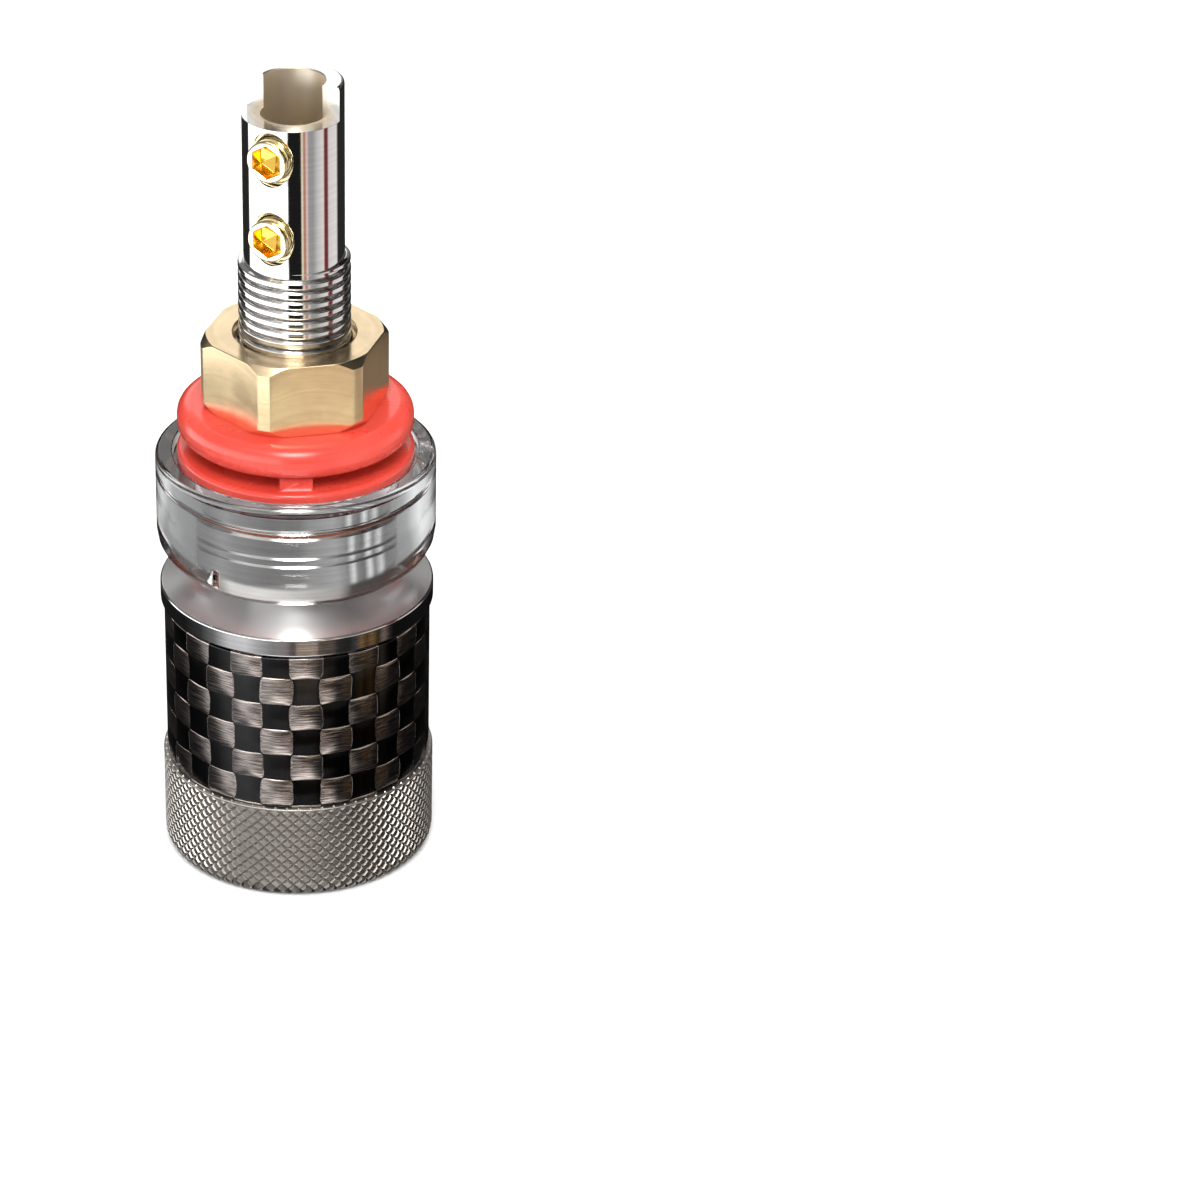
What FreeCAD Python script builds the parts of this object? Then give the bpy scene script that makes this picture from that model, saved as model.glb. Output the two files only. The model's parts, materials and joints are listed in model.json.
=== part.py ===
"""A binding post for heavy audio cable, standing on the face of its knob.

The post goes through a panel. Behind the panel, at the top here, a hex nut and a red washer
clamp it, and a bare wire goes into a tube with two clamp screws. In front of the panel a red
insulator and a clear collar sit round the contact flange of the turned terminal stud. A knob
on the stud's front thread clamps a spade lug against that flange with a loose pressure ring,
and a banana plug goes through the knob's face into the stud. Inside the knob a ratchet ring
slips on the threaded bush when the knob is turned too hard.

Frame: millimetres, +Z along the post from the knob's face to the wire tube, origin at the
centre of the knob's face. The front of the post, as seen, is towards -Y.
"""
import FreeCAD
import Part
import math
import os

import Sketcher
from FreeCAD import Placement, Rotation, Vector

SHEET = "Sizes"

DIMENSIONS = (
    # knob
    ("knob_radius", 9.88, "knurled cap, over the knurl"),
    ("cap_length", 7.5, "knurled cap, face to the carbon sleeve"),
    ("cap_wall", 2.6, "front wall of the cap"),
    ("cap_face_round", 1.2, "rounding round the knob's face"),
    ("cap_edge", 0.2, "chamfer on the cap's inner rim"),
    ("sleeve_inset", 0.28, "carbon sleeve inside the knurl"),
    ("sleeve_wall", 0.95, "carbon sleeve"),
    ("sleeve_length", 12.25, "carbon sleeve"),
    ("seam", 0.05, "gap left between pieces that are pressed or glued"),
    ("core_wall", 1.15, "knob core, beside the ratchet"),
    ("core_top_drop", 0.05, "core's top below the sleeve's top"),
    # black insert in the knob's face
    ("insert_radius", 4.9, "socket insert"),
    ("insert_recess", 0.25, "insert's face behind the knob's face"),
    ("insert_thickness", 1.95, "socket insert"),
    ("insert_shoulder", 0.65, "width of the shoulder behind the insert"),
    ("insert_hole", 2.6, "radius of the hole before its lobes are cut"),
    ("lobe_radius", 1.3, "each lobe of the insert's hole"),
    ("lobe_circle", 1.9, "radius of the circle through the lobes' centres"),
    ("lobe_count", 7, "lobes round the hole"),
    # pressure ring and its bearing
    ("ring_inset", 0.03, "pressure ring inside the knurl"),
    ("ring_thickness", 1.4, "pressure ring"),
    ("ring_edge", 0.15, "chamfer on the ring's rims"),
    ("ring_fit", 0.15, "radial clearance of the ring round the stud"),
    ("hub_step", 0.83, "ring's hub inside the core's bore"),
    ("hub_length", 2.2, "ring's hub below the plate"),
    ("hub_fit", 0.08, "radial clearance of the hub in the core"),
    ("hub_gap", 0.3, "from the hub's end to the threaded bush"),
    ("thrust_thickness", 0.3, "slip washer under the ring"),
    ("thrust_edge", 0.3, "slip washer's rims inside the core's rims"),
    ("clip_width", 0.8, "clip that holds the ring, radially"),
    ("clip_thickness", 0.4, "clip that holds the ring"),
    ("clip_depth", 0.35, "depth of the clip's groove in the hub"),
    ("clip_below", 0.8, "clip's groove below the core's top"),
    # threaded bush and ratchet
    ("bush_length", 5.0, "threaded bush"),
    ("bush_flange", 1.6, "thickness of the bush's flange"),
    ("ratchet_gap", 0.08, "between the ratchet's parts"),
    ("ratchet_thickness", 1.9, "ratchet ring under its teeth"),
    ("tooth_count", 12, "ratchet teeth"),
    ("tooth_height", 0.55, "ratchet teeth"),
    ("tooth_length", 2.3, "length of a tooth's slope"),
    ("lug_count", 3, "lugs that key the ratchet ring to the core"),
    ("lug_width", 2.4, "ratchet ring's lugs"),
    ("lug_height", 0.5, "ratchet ring's lugs"),
    ("spring_thickness", 0.35, "disc spring"),
    ("spring_rise", 0.35, "height of the disc spring's cone"),
    ("snap_ring_thickness", 0.55, "ring that carries the disc spring"),
    ("snap_ring_gap", 0.375, "ring that carries the disc spring, round the threaded bush"),
    ("snap_ring_depth", 0.5, "depth of its groove in the core"),
    # terminal stud
    ("thread_radius", 4.0, "M8 thread, both ends of the stud"),
    ("front_end", 4.6, "stud's front end behind the knob's face"),
    ("plug_bore", 2.05, "socket for a 4 mm banana plug"),
    ("plug_depth", 17.8, "socket for a 4 mm banana plug"),
    ("plug_lead", 0.4, "countersink of the socket"),
    ("thread_lead", 0.6, "chamfer at the ends of the thread"),
    ("flange_height", 5.2, "contact flange, wide part"),
    ("flange_step", 0.5, "how far the flange steps in at its top"),
    ("flange_total", 6.8, "contact flange with its step"),
    ("flange_groove", 0.16, "depth of the two turned grooves"),
    ("groove_first", 3.2, "upper groove above the contact face"),
    ("groove_second", 3.85, "from the contact face to the highest groove"),
    ("groove_width", 0.3, "turned grooves"),
    ("thread_length", 16.4, "rear thread above the flange"),
    ("thread_run", 0.7, "cone between the thread and the wire tube"),
    ("tube_inset", 0.46, "wire tube inside the thread, at the thread's root"),
    ("tube_length", 12.6, "wire tube"),
    ("tube_round", 0.3, "rounding of the tube's end"),
    ("wire_bore", 2.25, "bore for the wire"),
    ("wire_depth", 12.9, "bore for the wire"),
    ("tube_cut", 2.45, "length of the half cut away at the tube's end"),
    ("stop_groove", 0.45, "depth of the stop ring's groove"),
    ("stop_inset", 1.0, "groove from the stud's front end"),
    ("stop_thickness", 0.8, "stop ring"),
    ("stop_width", 1.2, "stop ring outside the thread"),
    ("ring_slot", 1.6, "opening of the stop ring and the clips"),
    # clamp screws
    ("screw_azimuth", 27.0, "degrees, from the front towards the left"),
    ("screw_radius", 1.5, "M3 clamp screws"),
    ("screw_length", 1.8, "clamp screws"),
    ("screw_proud", 0.56, "screw head outside the tube"),
    ("screw_fit", 0.05, "radial clearance of a screw in its hole"),
    ("screw_sink", 0.45, "countersink of a screw's hole"),
    ("screw_edge", 0.2, "chamfer of a screw's end"),
    ("screw_key", 1.02, "half the width of the hexagon socket"),
    ("screw_key_depth", 1.2, "hexagon socket"),
    ("screw_inset", 10.5, "lower screw below the tube's end"),
    ("screw_pitch", 5.85, "between the two screws"),
    # collar
    ("clamp_opening", 1.75, "gap left for a spade lug, as it stands"),
    ("contact_proud", 0.1, "contact face in front of the collar"),
    ("collar_overhang", 0.12, "collar outside the knurl"),
    ("collar_wall", 2.75, "collar round the contact flange"),
    ("collar_height", 8.4, "clear collar"),
    ("collar_round", 2.6, "rounding of the collar's front edge"),
    ("collar_edge", 0.35, "rounding of the collar's rear edge"),
    ("recess_land", 1.25, "rim round the recess for the insulator"),
    ("recess_depth", 0.55, "recess for the insulator"),
    ("collar_web", 1.1, "web between the flange and the insulator"),
    ("mark_radius", 0.7, "ejector marks"),
    ("mark_inset", 1.4, "marks' centres inside the collar's side"),
    ("mark_depth", 0.95, "from the collar's front face"),
    ("mark_azimuth", 52.0, "degrees, first mark from the front to the left"),
    # locating pins
    ("pin_radius", 0.75, "locating pins"),
    ("pin_in_flange", 0.9, "depth of a pin in the stud's flange"),
    ("pin_in_insulator", 0.55, "depth of a pin in the insulator"),
    # insulator, washer and nut
    ("insulator_fit", 0.3, "front insulator's flange inside the recess"),
    ("insulator_flange", 1.0, "front insulator's flange"),
    ("insulator_edge", 0.3, "rounding of the flange"),
    ("neck_radius", 5.9, "neck, for a 12 mm panel hole"),
    ("neck_height", 2.15, "neck above the flange"),
    ("key_reach", 7.7, "outer end of the key"),
    ("key_width", 2.3, "key, for the panel hole's notch"),
    ("panel_gap", 0.95, "room for the panel with the nut run down"),
    ("washer_inset", 0.05, "rear washer inside the insulator's flange"),
    ("washer_thickness", 2.45, "rear washer"),
    ("washer_edge", 1.0, "rounding of the washer"),
    ("washer_seat", 1.3, "depth of the washer's seat for the neck"),
    ("slide_fit", 0.1, "radial clearance of the washer"),
    ("nut_flats", 12.0, "panel nut, across flats"),
    ("nut_sides", 6, "flats round the nut"),
    ("nut_corner", 0.68, "turned corners outside the flats"),
    ("nut_face", 0.25, "flat ends' rims outside the flats"),
    ("nut_drop", 0.55, "height of the nut's chamfers"),
    ("nut_height", 5.3, "panel nut"),
    ("nut_sink", 0.36, "countersink of the nut's thread"),
    ("nut_turn", 10.8, "degrees, a flat from the front to the right"),
    ("thread_fit", 0.05, "radial clearance of threads that turn"),
)


class Size:
    """A size that knows its value and the sheet expression that gives it."""

    def __init__(self, value, text):
        self.value = value
        self.text = text

    def __add__(self, other):
        other = as_size(other)
        return Size(self.value + other.value, f"({self.text} + {other.text})")

    def __sub__(self, other):
        other = as_size(other)
        return Size(self.value - other.value, f"({self.text} - {other.text})")

    def __mul__(self, factor):
        return Size(self.value * factor, f"({self.text} * {factor})")

    def __neg__(self):
        return Size(-self.value, f"(-{self.text})")


def as_size(number):
    """A plain number as a size, and a size as it is."""
    if isinstance(number, Size):
        return number
    return Size(number, repr(float(number)))


class Sizes:
    """Every driving dimension, by its name."""

    def __init__(self, sheet):
        for name, value, _ in DIMENSIONS:
            setattr(self, name, Size(value, f"{sheet.Name}.{name}"))


def fill_sheet(doc):
    """Write the driving dimensions into the spreadsheet, a named cell for each."""
    sheet = doc.addObject("Spreadsheet::Sheet", SHEET)
    for row, (name, value, note) in enumerate(DIMENSIONS, 1):
        sheet.set(f"A{row}", name)
        sheet.set(f"B{row}", str(value))
        sheet.set(f"C{row}", note)
        sheet.setAlias(f"B{row}", name)
    doc.recompute()
    return sheet


class Radii:
    """Radii from the post's axis, worked inwards from the knob's."""

    def __init__(self, d):
        # knob
        self.knob = d.knob_radius
        self.sleeve = self.knob - d.sleeve_inset
        self.skirt_bore = self.sleeve - d.sleeve_wall
        self.core = self.skirt_bore - d.seam
        self.core_bore = self.core - d.core_wall
        self.ratchet = self.core_bore - d.seam * 2
        self.bush = (d.thread_radius + self.core_bore) * 0.5
        self.snap_groove = self.core_bore + d.snap_ring_depth
        self.insert_seat = d.insert_radius + d.seam
        self.insert_shoulder = d.insert_radius - d.insert_shoulder
        # pressure ring
        self.ring = self.knob - d.ring_inset
        self.hub = self.core_bore - d.hub_step
        self.hub_bore = self.hub + d.hub_fit
        self.clip_floor = self.hub - d.clip_depth
        self.clip_groove = self.clip_floor + d.clip_width + d.seam * 2
        # stud
        self.stop_floor = d.thread_radius - d.stop_groove
        self.stop = d.thread_radius + d.stop_width
        self.tube = d.thread_radius - d.tube_inset
        self.fixed_bore = d.thread_radius + d.seam
        self.threaded_bore = d.thread_radius + d.thread_fit
        # collar and what it holds
        self.collar = self.knob + d.collar_overhang
        self.collar_bore = self.collar - d.collar_wall
        self.flange = self.collar_bore - d.seam
        self.flange_top = self.flange - d.flange_step
        self.flange_groove = self.flange - d.flange_groove
        self.recess = self.collar - d.recess_land
        self.insulator = self.recess - d.insulator_fit
        self.marks = self.collar - d.mark_inset
        self.pins = (d.thread_radius + self.flange_top) * 0.5
        self.pin_hole = d.pin_radius + d.seam
        # washer and nut
        self.washer = self.insulator - d.washer_inset
        self.washer_bore = d.thread_radius + d.slide_fit
        self.washer_seat = d.neck_radius + d.slide_fit
        self.nut_corner = d.nut_flats * 0.5 + d.nut_corner
        self.nut_face = d.nut_flats * 0.5 + d.nut_face
        # clamp screws
        self.screw_head = self.tube + d.screw_proud
        self.screw_hole = d.screw_radius + d.screw_fit


class Levels:
    """Heights above the knob's face, stacked up from the driving dimensions."""

    def __init__(self, d):
        self.face = as_size(0)
        # knob, from its face up
        self.insert_face = d.insert_recess
        self.insert_back = self.insert_face + d.insert_thickness
        self.core_bottom = d.cap_wall + d.seam
        self.sleeve_bottom = d.cap_length + d.seam
        self.sleeve_top = self.sleeve_bottom + d.sleeve_length
        self.core_top = self.sleeve_top - d.core_top_drop
        self.ring_bottom = self.core_top + d.thrust_thickness
        self.ring_top = self.ring_bottom + d.ring_thickness
        self.hub_bottom = self.ring_bottom - d.hub_length
        self.clip_top = self.core_top - d.clip_below
        self.clip_bottom = self.clip_top - d.clip_thickness
        self.bush_top = self.hub_bottom - d.hub_gap
        self.bush_bottom = self.bush_top - d.bush_length
        self.bush_shoulder = self.bush_top - d.bush_flange
        self.ratchet_top = self.bush_shoulder - d.ratchet_gap
        self.ratchet_bottom = self.ratchet_top - d.ratchet_thickness
        self.spring_bottom = self.ratchet_bottom - d.spring_thickness - d.spring_rise
        self.snap_top = self.spring_bottom - d.seam
        self.snap_bottom = self.snap_top - d.snap_ring_thickness
        # stud and what is fixed to it
        self.stud_front = d.front_end
        self.stop_bottom = self.stud_front + d.stop_inset
        self.contact = self.ring_top + d.clamp_opening
        self.flange_wide = self.contact + d.flange_height
        self.flange_top = self.contact + d.flange_total
        self.thread_top = self.flange_top + d.thread_length
        self.tube_bottom = self.thread_top + d.thread_run
        self.tube_top = self.tube_bottom + d.tube_length
        self.low_screw = self.tube_top - d.screw_inset
        self.high_screw = self.low_screw + d.screw_pitch
        self.collar_bottom = self.contact + d.contact_proud
        self.collar_top = self.collar_bottom + d.collar_height
        self.recess = self.collar_top - d.recess_depth
        self.web_bottom = self.recess - d.collar_web
        self.insulator_top = self.recess + d.insulator_flange
        self.neck_top = self.insulator_top + d.neck_height
        # washer and nut behind the panel
        self.washer_bottom = self.insulator_top + d.panel_gap
        self.washer_top = self.washer_bottom + d.washer_thickness
        self.nut_top = self.washer_top + d.nut_height


def own_origin(body, role):
    """One of a body's own origin planes or axes, found by its role."""
    for feature in body.Origin.OriginFeatures:
        if feature.Role == role:
            return feature
    raise LookupError(role)


def new_sketch(body, name, role="XZ_Plane", lift=None, turn=None):
    """A sketch on a body's origin plane, lifted along its normal and turned about +Z.

    turn is in degrees, from the front (-Y) towards the left (-X).
    """
    sketch = body.newObject("Sketcher::SketchObject", name)
    sketch.AttachmentSupport = [(own_origin(body, role), "")]
    sketch.MapMode = "FlatFace"
    upright = Vector(0, -1, 0) if role == "XZ_Plane" else Vector(0, 0, -1)
    height = lift.value if lift else 0
    angle = turn.value if turn else 0
    sketch.AttachmentOffset = Placement(Vector(0, 0, height), Rotation(upright, angle))
    if lift:
        sketch.setExpression(".AttachmentOffset.Base.z", lift.text)
    if turn:
        sketch.setExpression(".AttachmentOffset.Rotation.Angle", turn.text)
    return sketch


def bind(sketch, kind, places, size):
    """Add one driving constraint and bind it to the sheet."""
    number = sketch.addConstraint(Sketcher.Constraint(kind, *places, size.value))
    sketch.setExpression(f"Constraints[{number}]", size.text)


def fix_point(sketch, edge, end, across, up):
    """Fix a point of an edge at its two distances from the sketch's origin."""
    if across.value == 0:
        sketch.addConstraint(Sketcher.Constraint("PointOnObject", edge, end, -2))
    else:
        bind(sketch, "DistanceX", (-1, 1, edge, end), across)
    if up.value == 0:
        sketch.addConstraint(Sketcher.Constraint("PointOnObject", edge, end, -1))
    else:
        bind(sketch, "DistanceY", (-1, 1, edge, end), up)


def draw_outline(sketch, corners):
    """A closed outline of straight edges through corners, each fixed in both directions."""
    corners = [(as_size(across), as_size(up)) for across, up in corners]
    points = [Vector(across.value, up.value, 0) for across, up in corners]
    for number, point in enumerate(points):
        following = points[(number + 1) % len(points)]
        sketch.addGeometry(Part.LineSegment(point, following), False)
    for number, (across, up) in enumerate(corners):
        following = (number + 1) % len(points)
        sketch.addConstraint(Sketcher.Constraint("Coincident", number, 2, following, 1))
        fix_point(sketch, number, 1, across, up)


def draw_circle(sketch, across, up, radius):
    """A circle, fixed at its centre and with its radius."""
    across, up = as_size(across), as_size(up)
    centre = Vector(across.value, up.value, 0)
    edge = sketch.addGeometry(Part.Circle(centre, Vector(0, 0, 1), radius.value), False)
    fix_point(sketch, edge, 3, across, up)
    bind(sketch, "Radius", (edge,), radius)


def turned(doc, label, corners):
    """A body turned about its axis from a section of (radius, height) corners."""
    body = doc.addObject("PartDesign::Body", label)
    body.Label = label
    sketch = new_sketch(body, f"{label}_section")
    draw_outline(sketch, corners)
    turn = body.newObject("PartDesign::Revolution", f"{label}_turned")
    turn.Profile = sketch
    turn.ReferenceAxis = (sketch, ["V_Axis"])
    turn.Angle = 360
    sketch.Visibility = False
    doc.recompute()
    return body


def bored(doc, body, name, corners, *seat):
    """Turn a section away from a body, as a boring tool does; seat places its sketch."""
    sketch = new_sketch(body, f"{name}_section", *seat)
    draw_outline(sketch, corners)
    groove = body.newObject("PartDesign::Groove", name)
    groove.Profile = sketch
    groove.ReferenceAxis = (sketch, ["V_Axis"])
    groove.Angle = 360
    doc.recompute()
    return groove


def pocket(doc, body, sketch, name, depth, outward=False):
    """Cut a sketch's outline away, behind the sketch or, outward, in front of it."""
    cut = body.newObject("PartDesign::Pocket", name)
    cut.Profile = sketch
    cut.Length = depth.value
    cut.setExpression("Length", depth.text)
    cut.Reversed = outward
    doc.recompute()
    return cut


def padded(doc, body, sketch, name, height):
    """Raise a sketch's outline along its normal."""
    pad = body.newObject("PartDesign::Pad", name)
    pad.Profile = sketch
    pad.Length = height.value
    pad.setExpression("Length", height.text)
    doc.recompute()
    return pad


def ring_of(doc, body, feature, name, count):
    """Repeat a feature evenly round the post's axis."""
    pattern = body.newObject("PartDesign::PolarPattern", name)
    pattern.Originals = [feature]
    pattern.Axis = (own_origin(body, "Z_Axis"), [""])
    pattern.Angle = 360
    pattern.Occurrences = int(count.value)
    pattern.setExpression("Occurrences", count.text)
    body.Tip = pattern
    doc.recompute()
    return pattern


def rims(body, *places):
    """Names of the round edges of a body's tip at the given (radius, height) places."""
    names = []
    for number, edge in enumerate(body.Tip.Shape.Edges, 1):
        if not isinstance(edge.Curve, Part.Circle):
            continue
        for radius, height in places:
            fits = abs(edge.Curve.Radius - radius.value) < 1e-4
            if fits and abs(edge.Curve.Center.z - height.value) < 1e-4:
                names.append(f"Edge{number}")
    return names


def dressed(doc, body, kind, name, size, *places):
    """Round (Fillet) or break (Chamfer) the rims at the given places."""
    base = body.Tip
    edges = rims(body, *places)
    dress = body.newObject(f"PartDesign::{kind}", name)
    dress.Base = (base, edges)
    setting = "Radius" if kind == "Fillet" else "Size"
    setattr(dress, setting, size.value)
    dress.setExpression(setting, size.text)
    doc.recompute()
    return dress


def slot_open(doc, body, d, label, reach, bottom, thickness):
    """Cut a ring open at the back, as a snap ring is."""
    sketch = new_sketch(body, f"{label}_slot_outline", "XY_Plane", bottom)
    half = d.ring_slot * 0.5
    draw_outline(sketch, ((-half, as_size(0)), (half, as_size(0)), (half, reach), (-half, reach)))
    pocket(doc, body, sketch, f"{label}_slot", thickness, outward=True)


def knurled_cap(doc, d, r, z):
    """The knob's front cap: a wall with a seat for the insert, and a skirt over the core."""
    body = turned(doc, "knurled_cap", (
        (r.insert_seat, z.face), (r.knob, z.face), (r.knob, d.cap_length),
        (r.skirt_bore, d.cap_length), (r.skirt_bore, d.cap_wall),
        (r.insert_shoulder, d.cap_wall), (r.insert_shoulder, z.insert_back),
        (r.insert_seat, z.insert_back),
    ))
    dressed(doc, body, "Fillet", "knob_face_round", d.cap_face_round, (r.knob, z.face))
    dressed(doc, body, "Chamfer", "cap_rim", d.cap_edge,
            (r.knob, d.cap_length), (r.insert_seat, z.face))


def carbon_sleeve(doc, d, r, z):
    """The woven carbon tube between the cap and the pressure ring."""
    turned(doc, "carbon_sleeve", (
        (r.skirt_bore, z.sleeve_bottom), (r.sleeve, z.sleeve_bottom),
        (r.sleeve, z.sleeve_top), (r.skirt_bore, z.sleeve_top),
    ))


def knob_core(doc, d, r, z):
    """The metal body inside the knob, bored for the ratchet and for the ring's hub."""
    body = turned(doc, "knob_core", (
        (r.core_bore, z.core_bottom), (r.core, z.core_bottom), (r.core, z.core_top),
        (r.hub_bore, z.core_top), (r.hub_bore, z.clip_top + d.seam),
        (r.clip_groove, z.clip_top + d.seam), (r.clip_groove, z.clip_bottom - d.seam),
        (r.hub_bore, z.clip_bottom - d.seam), (r.hub_bore, z.bush_top),
        (r.core_bore, z.bush_top), (r.core_bore, z.snap_top), (r.snap_groove, z.snap_top),
        (r.snap_groove, z.snap_bottom - d.seam), (r.core_bore, z.snap_bottom - d.seam),
    ))
    sketch = new_sketch(body, "keyway_outline", "XY_Plane", z.core_bottom)
    half = d.lug_width * 0.5 + d.seam
    floor = r.core_bore + d.lug_height
    start = r.core_bore - d.lug_height
    draw_outline(sketch, ((-half, start), (half, start), (half, floor), (-half, floor)))
    keyway = pocket(doc, body, sketch, "keyway", z.bush_shoulder - z.core_bottom, outward=True)
    ring_of(doc, body, keyway, "keyways", d.lug_count)


def threaded_bush(doc, d, r, z):
    """The brass bush on the stud's thread, with the ratchet's notches under its flange."""
    body = turned(doc, "threaded_bush", (
        (r.threaded_bore, z.bush_bottom), (r.bush, z.bush_bottom), (r.bush, z.bush_shoulder),
        (r.ratchet, z.bush_shoulder), (r.ratchet, z.bush_top), (r.threaded_bore, z.bush_top),
    ))
    sketch = new_sketch(body, "notch_outline", "XZ_Plane", r.bush)
    start = -(d.tooth_length * 0.5 + d.ratchet_gap)
    stop = d.tooth_length * 0.5 + d.ratchet_gap * 2
    top = z.bush_shoulder + d.tooth_height
    draw_outline(sketch, ((start, z.bush_shoulder), (stop, z.bush_shoulder), (start, top)))
    notch = pocket(doc, body, sketch, "notch", r.ratchet - r.bush + d.tooth_height, outward=True)
    ring_of(doc, body, notch, "notches", d.tooth_count)


def ratchet_ring(doc, d, r, z):
    """The ring whose teeth sit in the bush's notches and whose lugs run in the core's keyways."""
    bore = r.bush + d.ratchet_gap
    body = turned(doc, "ratchet_ring", (
        (bore, z.ratchet_bottom), (r.ratchet, z.ratchet_bottom),
        (r.ratchet, z.ratchet_top), (bore, z.ratchet_top),
    ))
    teeth = new_sketch(body, "tooth_outline", "XZ_Plane", bore + d.ratchet_gap)
    half = d.tooth_length * 0.5
    root = z.ratchet_top - d.ratchet_gap
    draw_outline(teeth, ((-half, root), (half, root), (half, z.ratchet_top),
                         (-half, z.ratchet_top + d.tooth_height - d.ratchet_gap)))
    tooth = padded(doc, body, teeth, "tooth", r.ratchet - bore - d.ratchet_gap * 3)
    ring_of(doc, body, tooth, "teeth", d.tooth_count)
    lugs = new_sketch(body, "lug_outline", "XY_Plane", z.ratchet_bottom)
    half = d.lug_width * 0.5
    reach = r.ratchet + d.lug_height
    start = r.ratchet - d.lug_height
    draw_outline(lugs, ((-half, start), (half, start), (half, reach), (-half, reach)))
    lug = padded(doc, body, lugs, "lug", d.ratchet_thickness)
    ring_of(doc, body, lug, "lugs", d.lug_count)


def disc_spring(doc, d, r, z):
    """The coned spring that presses the ratchet together."""
    inner = r.bush + d.ratchet_gap * 2
    outer = r.ratchet - d.seam
    low = z.spring_bottom
    turned(doc, "disc_spring", (
        (outer, low), (outer, low + d.spring_thickness),
        (inner, low + d.spring_thickness + d.spring_rise), (inner, low + d.spring_rise),
    ))


def spring_snap_ring(doc, d, r, z):
    """The snap ring in the core's groove that carries the disc spring."""
    outer = r.snap_groove - d.seam * 2
    inner = r.bush + d.snap_ring_gap
    top = z.snap_top - d.seam
    body = turned(doc, "spring_snap_ring", (
        (inner, z.snap_bottom), (outer, z.snap_bottom), (outer, top), (inner, top),
    ))
    slot_open(doc, body, d, "spring_snap_ring", outer, z.snap_bottom, d.snap_ring_thickness)


def thrust_washer(doc, d, r, z):
    """The slip washer between the core and the pressure ring."""
    inner = r.hub_bore + d.thrust_edge
    outer = r.core - d.thrust_edge
    turned(doc, "thrust_washer", (
        (inner, z.core_top), (outer, z.core_top), (outer, z.ring_bottom), (inner, z.ring_bottom),
    ))


def pressure_ring(doc, d, r, z):
    """The bright ring that presses on the lug: a plate, and a hub that the knob turns round."""
    bore = d.thread_radius + d.ring_fit
    body = turned(doc, "pressure_ring", (
        (bore, z.hub_bottom), (r.hub, z.hub_bottom),
        (r.hub, z.clip_bottom - d.seam), (r.clip_floor, z.clip_bottom - d.seam),
        (r.clip_floor, z.clip_top + d.seam), (r.hub, z.clip_top + d.seam),
        (r.hub, z.ring_bottom), (r.ring, z.ring_bottom), (r.ring, z.ring_top), (bore, z.ring_top),
    ))
    dressed(doc, body, "Chamfer", "ring_rims", d.ring_edge,
            (r.ring, z.ring_bottom), (r.ring, z.ring_top), (bore, z.ring_top))


def ring_clip(doc, d, r, z):
    """The clip in the core's groove that keeps the pressure ring in the knob."""
    inner = r.clip_floor + d.seam
    outer = inner + d.clip_width
    body = turned(doc, "ring_clip", (
        (inner, z.clip_bottom), (outer, z.clip_bottom), (outer, z.clip_top), (inner, z.clip_top),
    ))
    slot_open(doc, body, d, "ring_clip", outer + d.seam, z.clip_bottom, d.clip_thickness)


def socket_insert(doc, d, r, z):
    """The black disc in the knob's face, with a lobed hole for the banana plug."""
    body = turned(doc, "socket_insert", (
        (d.insert_hole, z.insert_face), (d.insert_radius, z.insert_face),
        (d.insert_radius, z.insert_back), (d.insert_hole, z.insert_back),
    ))
    sketch = new_sketch(body, "lobe_outline", "XY_Plane", z.insert_face)
    draw_circle(sketch, 0, d.lobe_circle, d.lobe_radius)
    lobe = pocket(doc, body, sketch, "lobe", d.insert_thickness, outward=True)
    ring_of(doc, body, lobe, "lobes", d.lobe_count)


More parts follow.
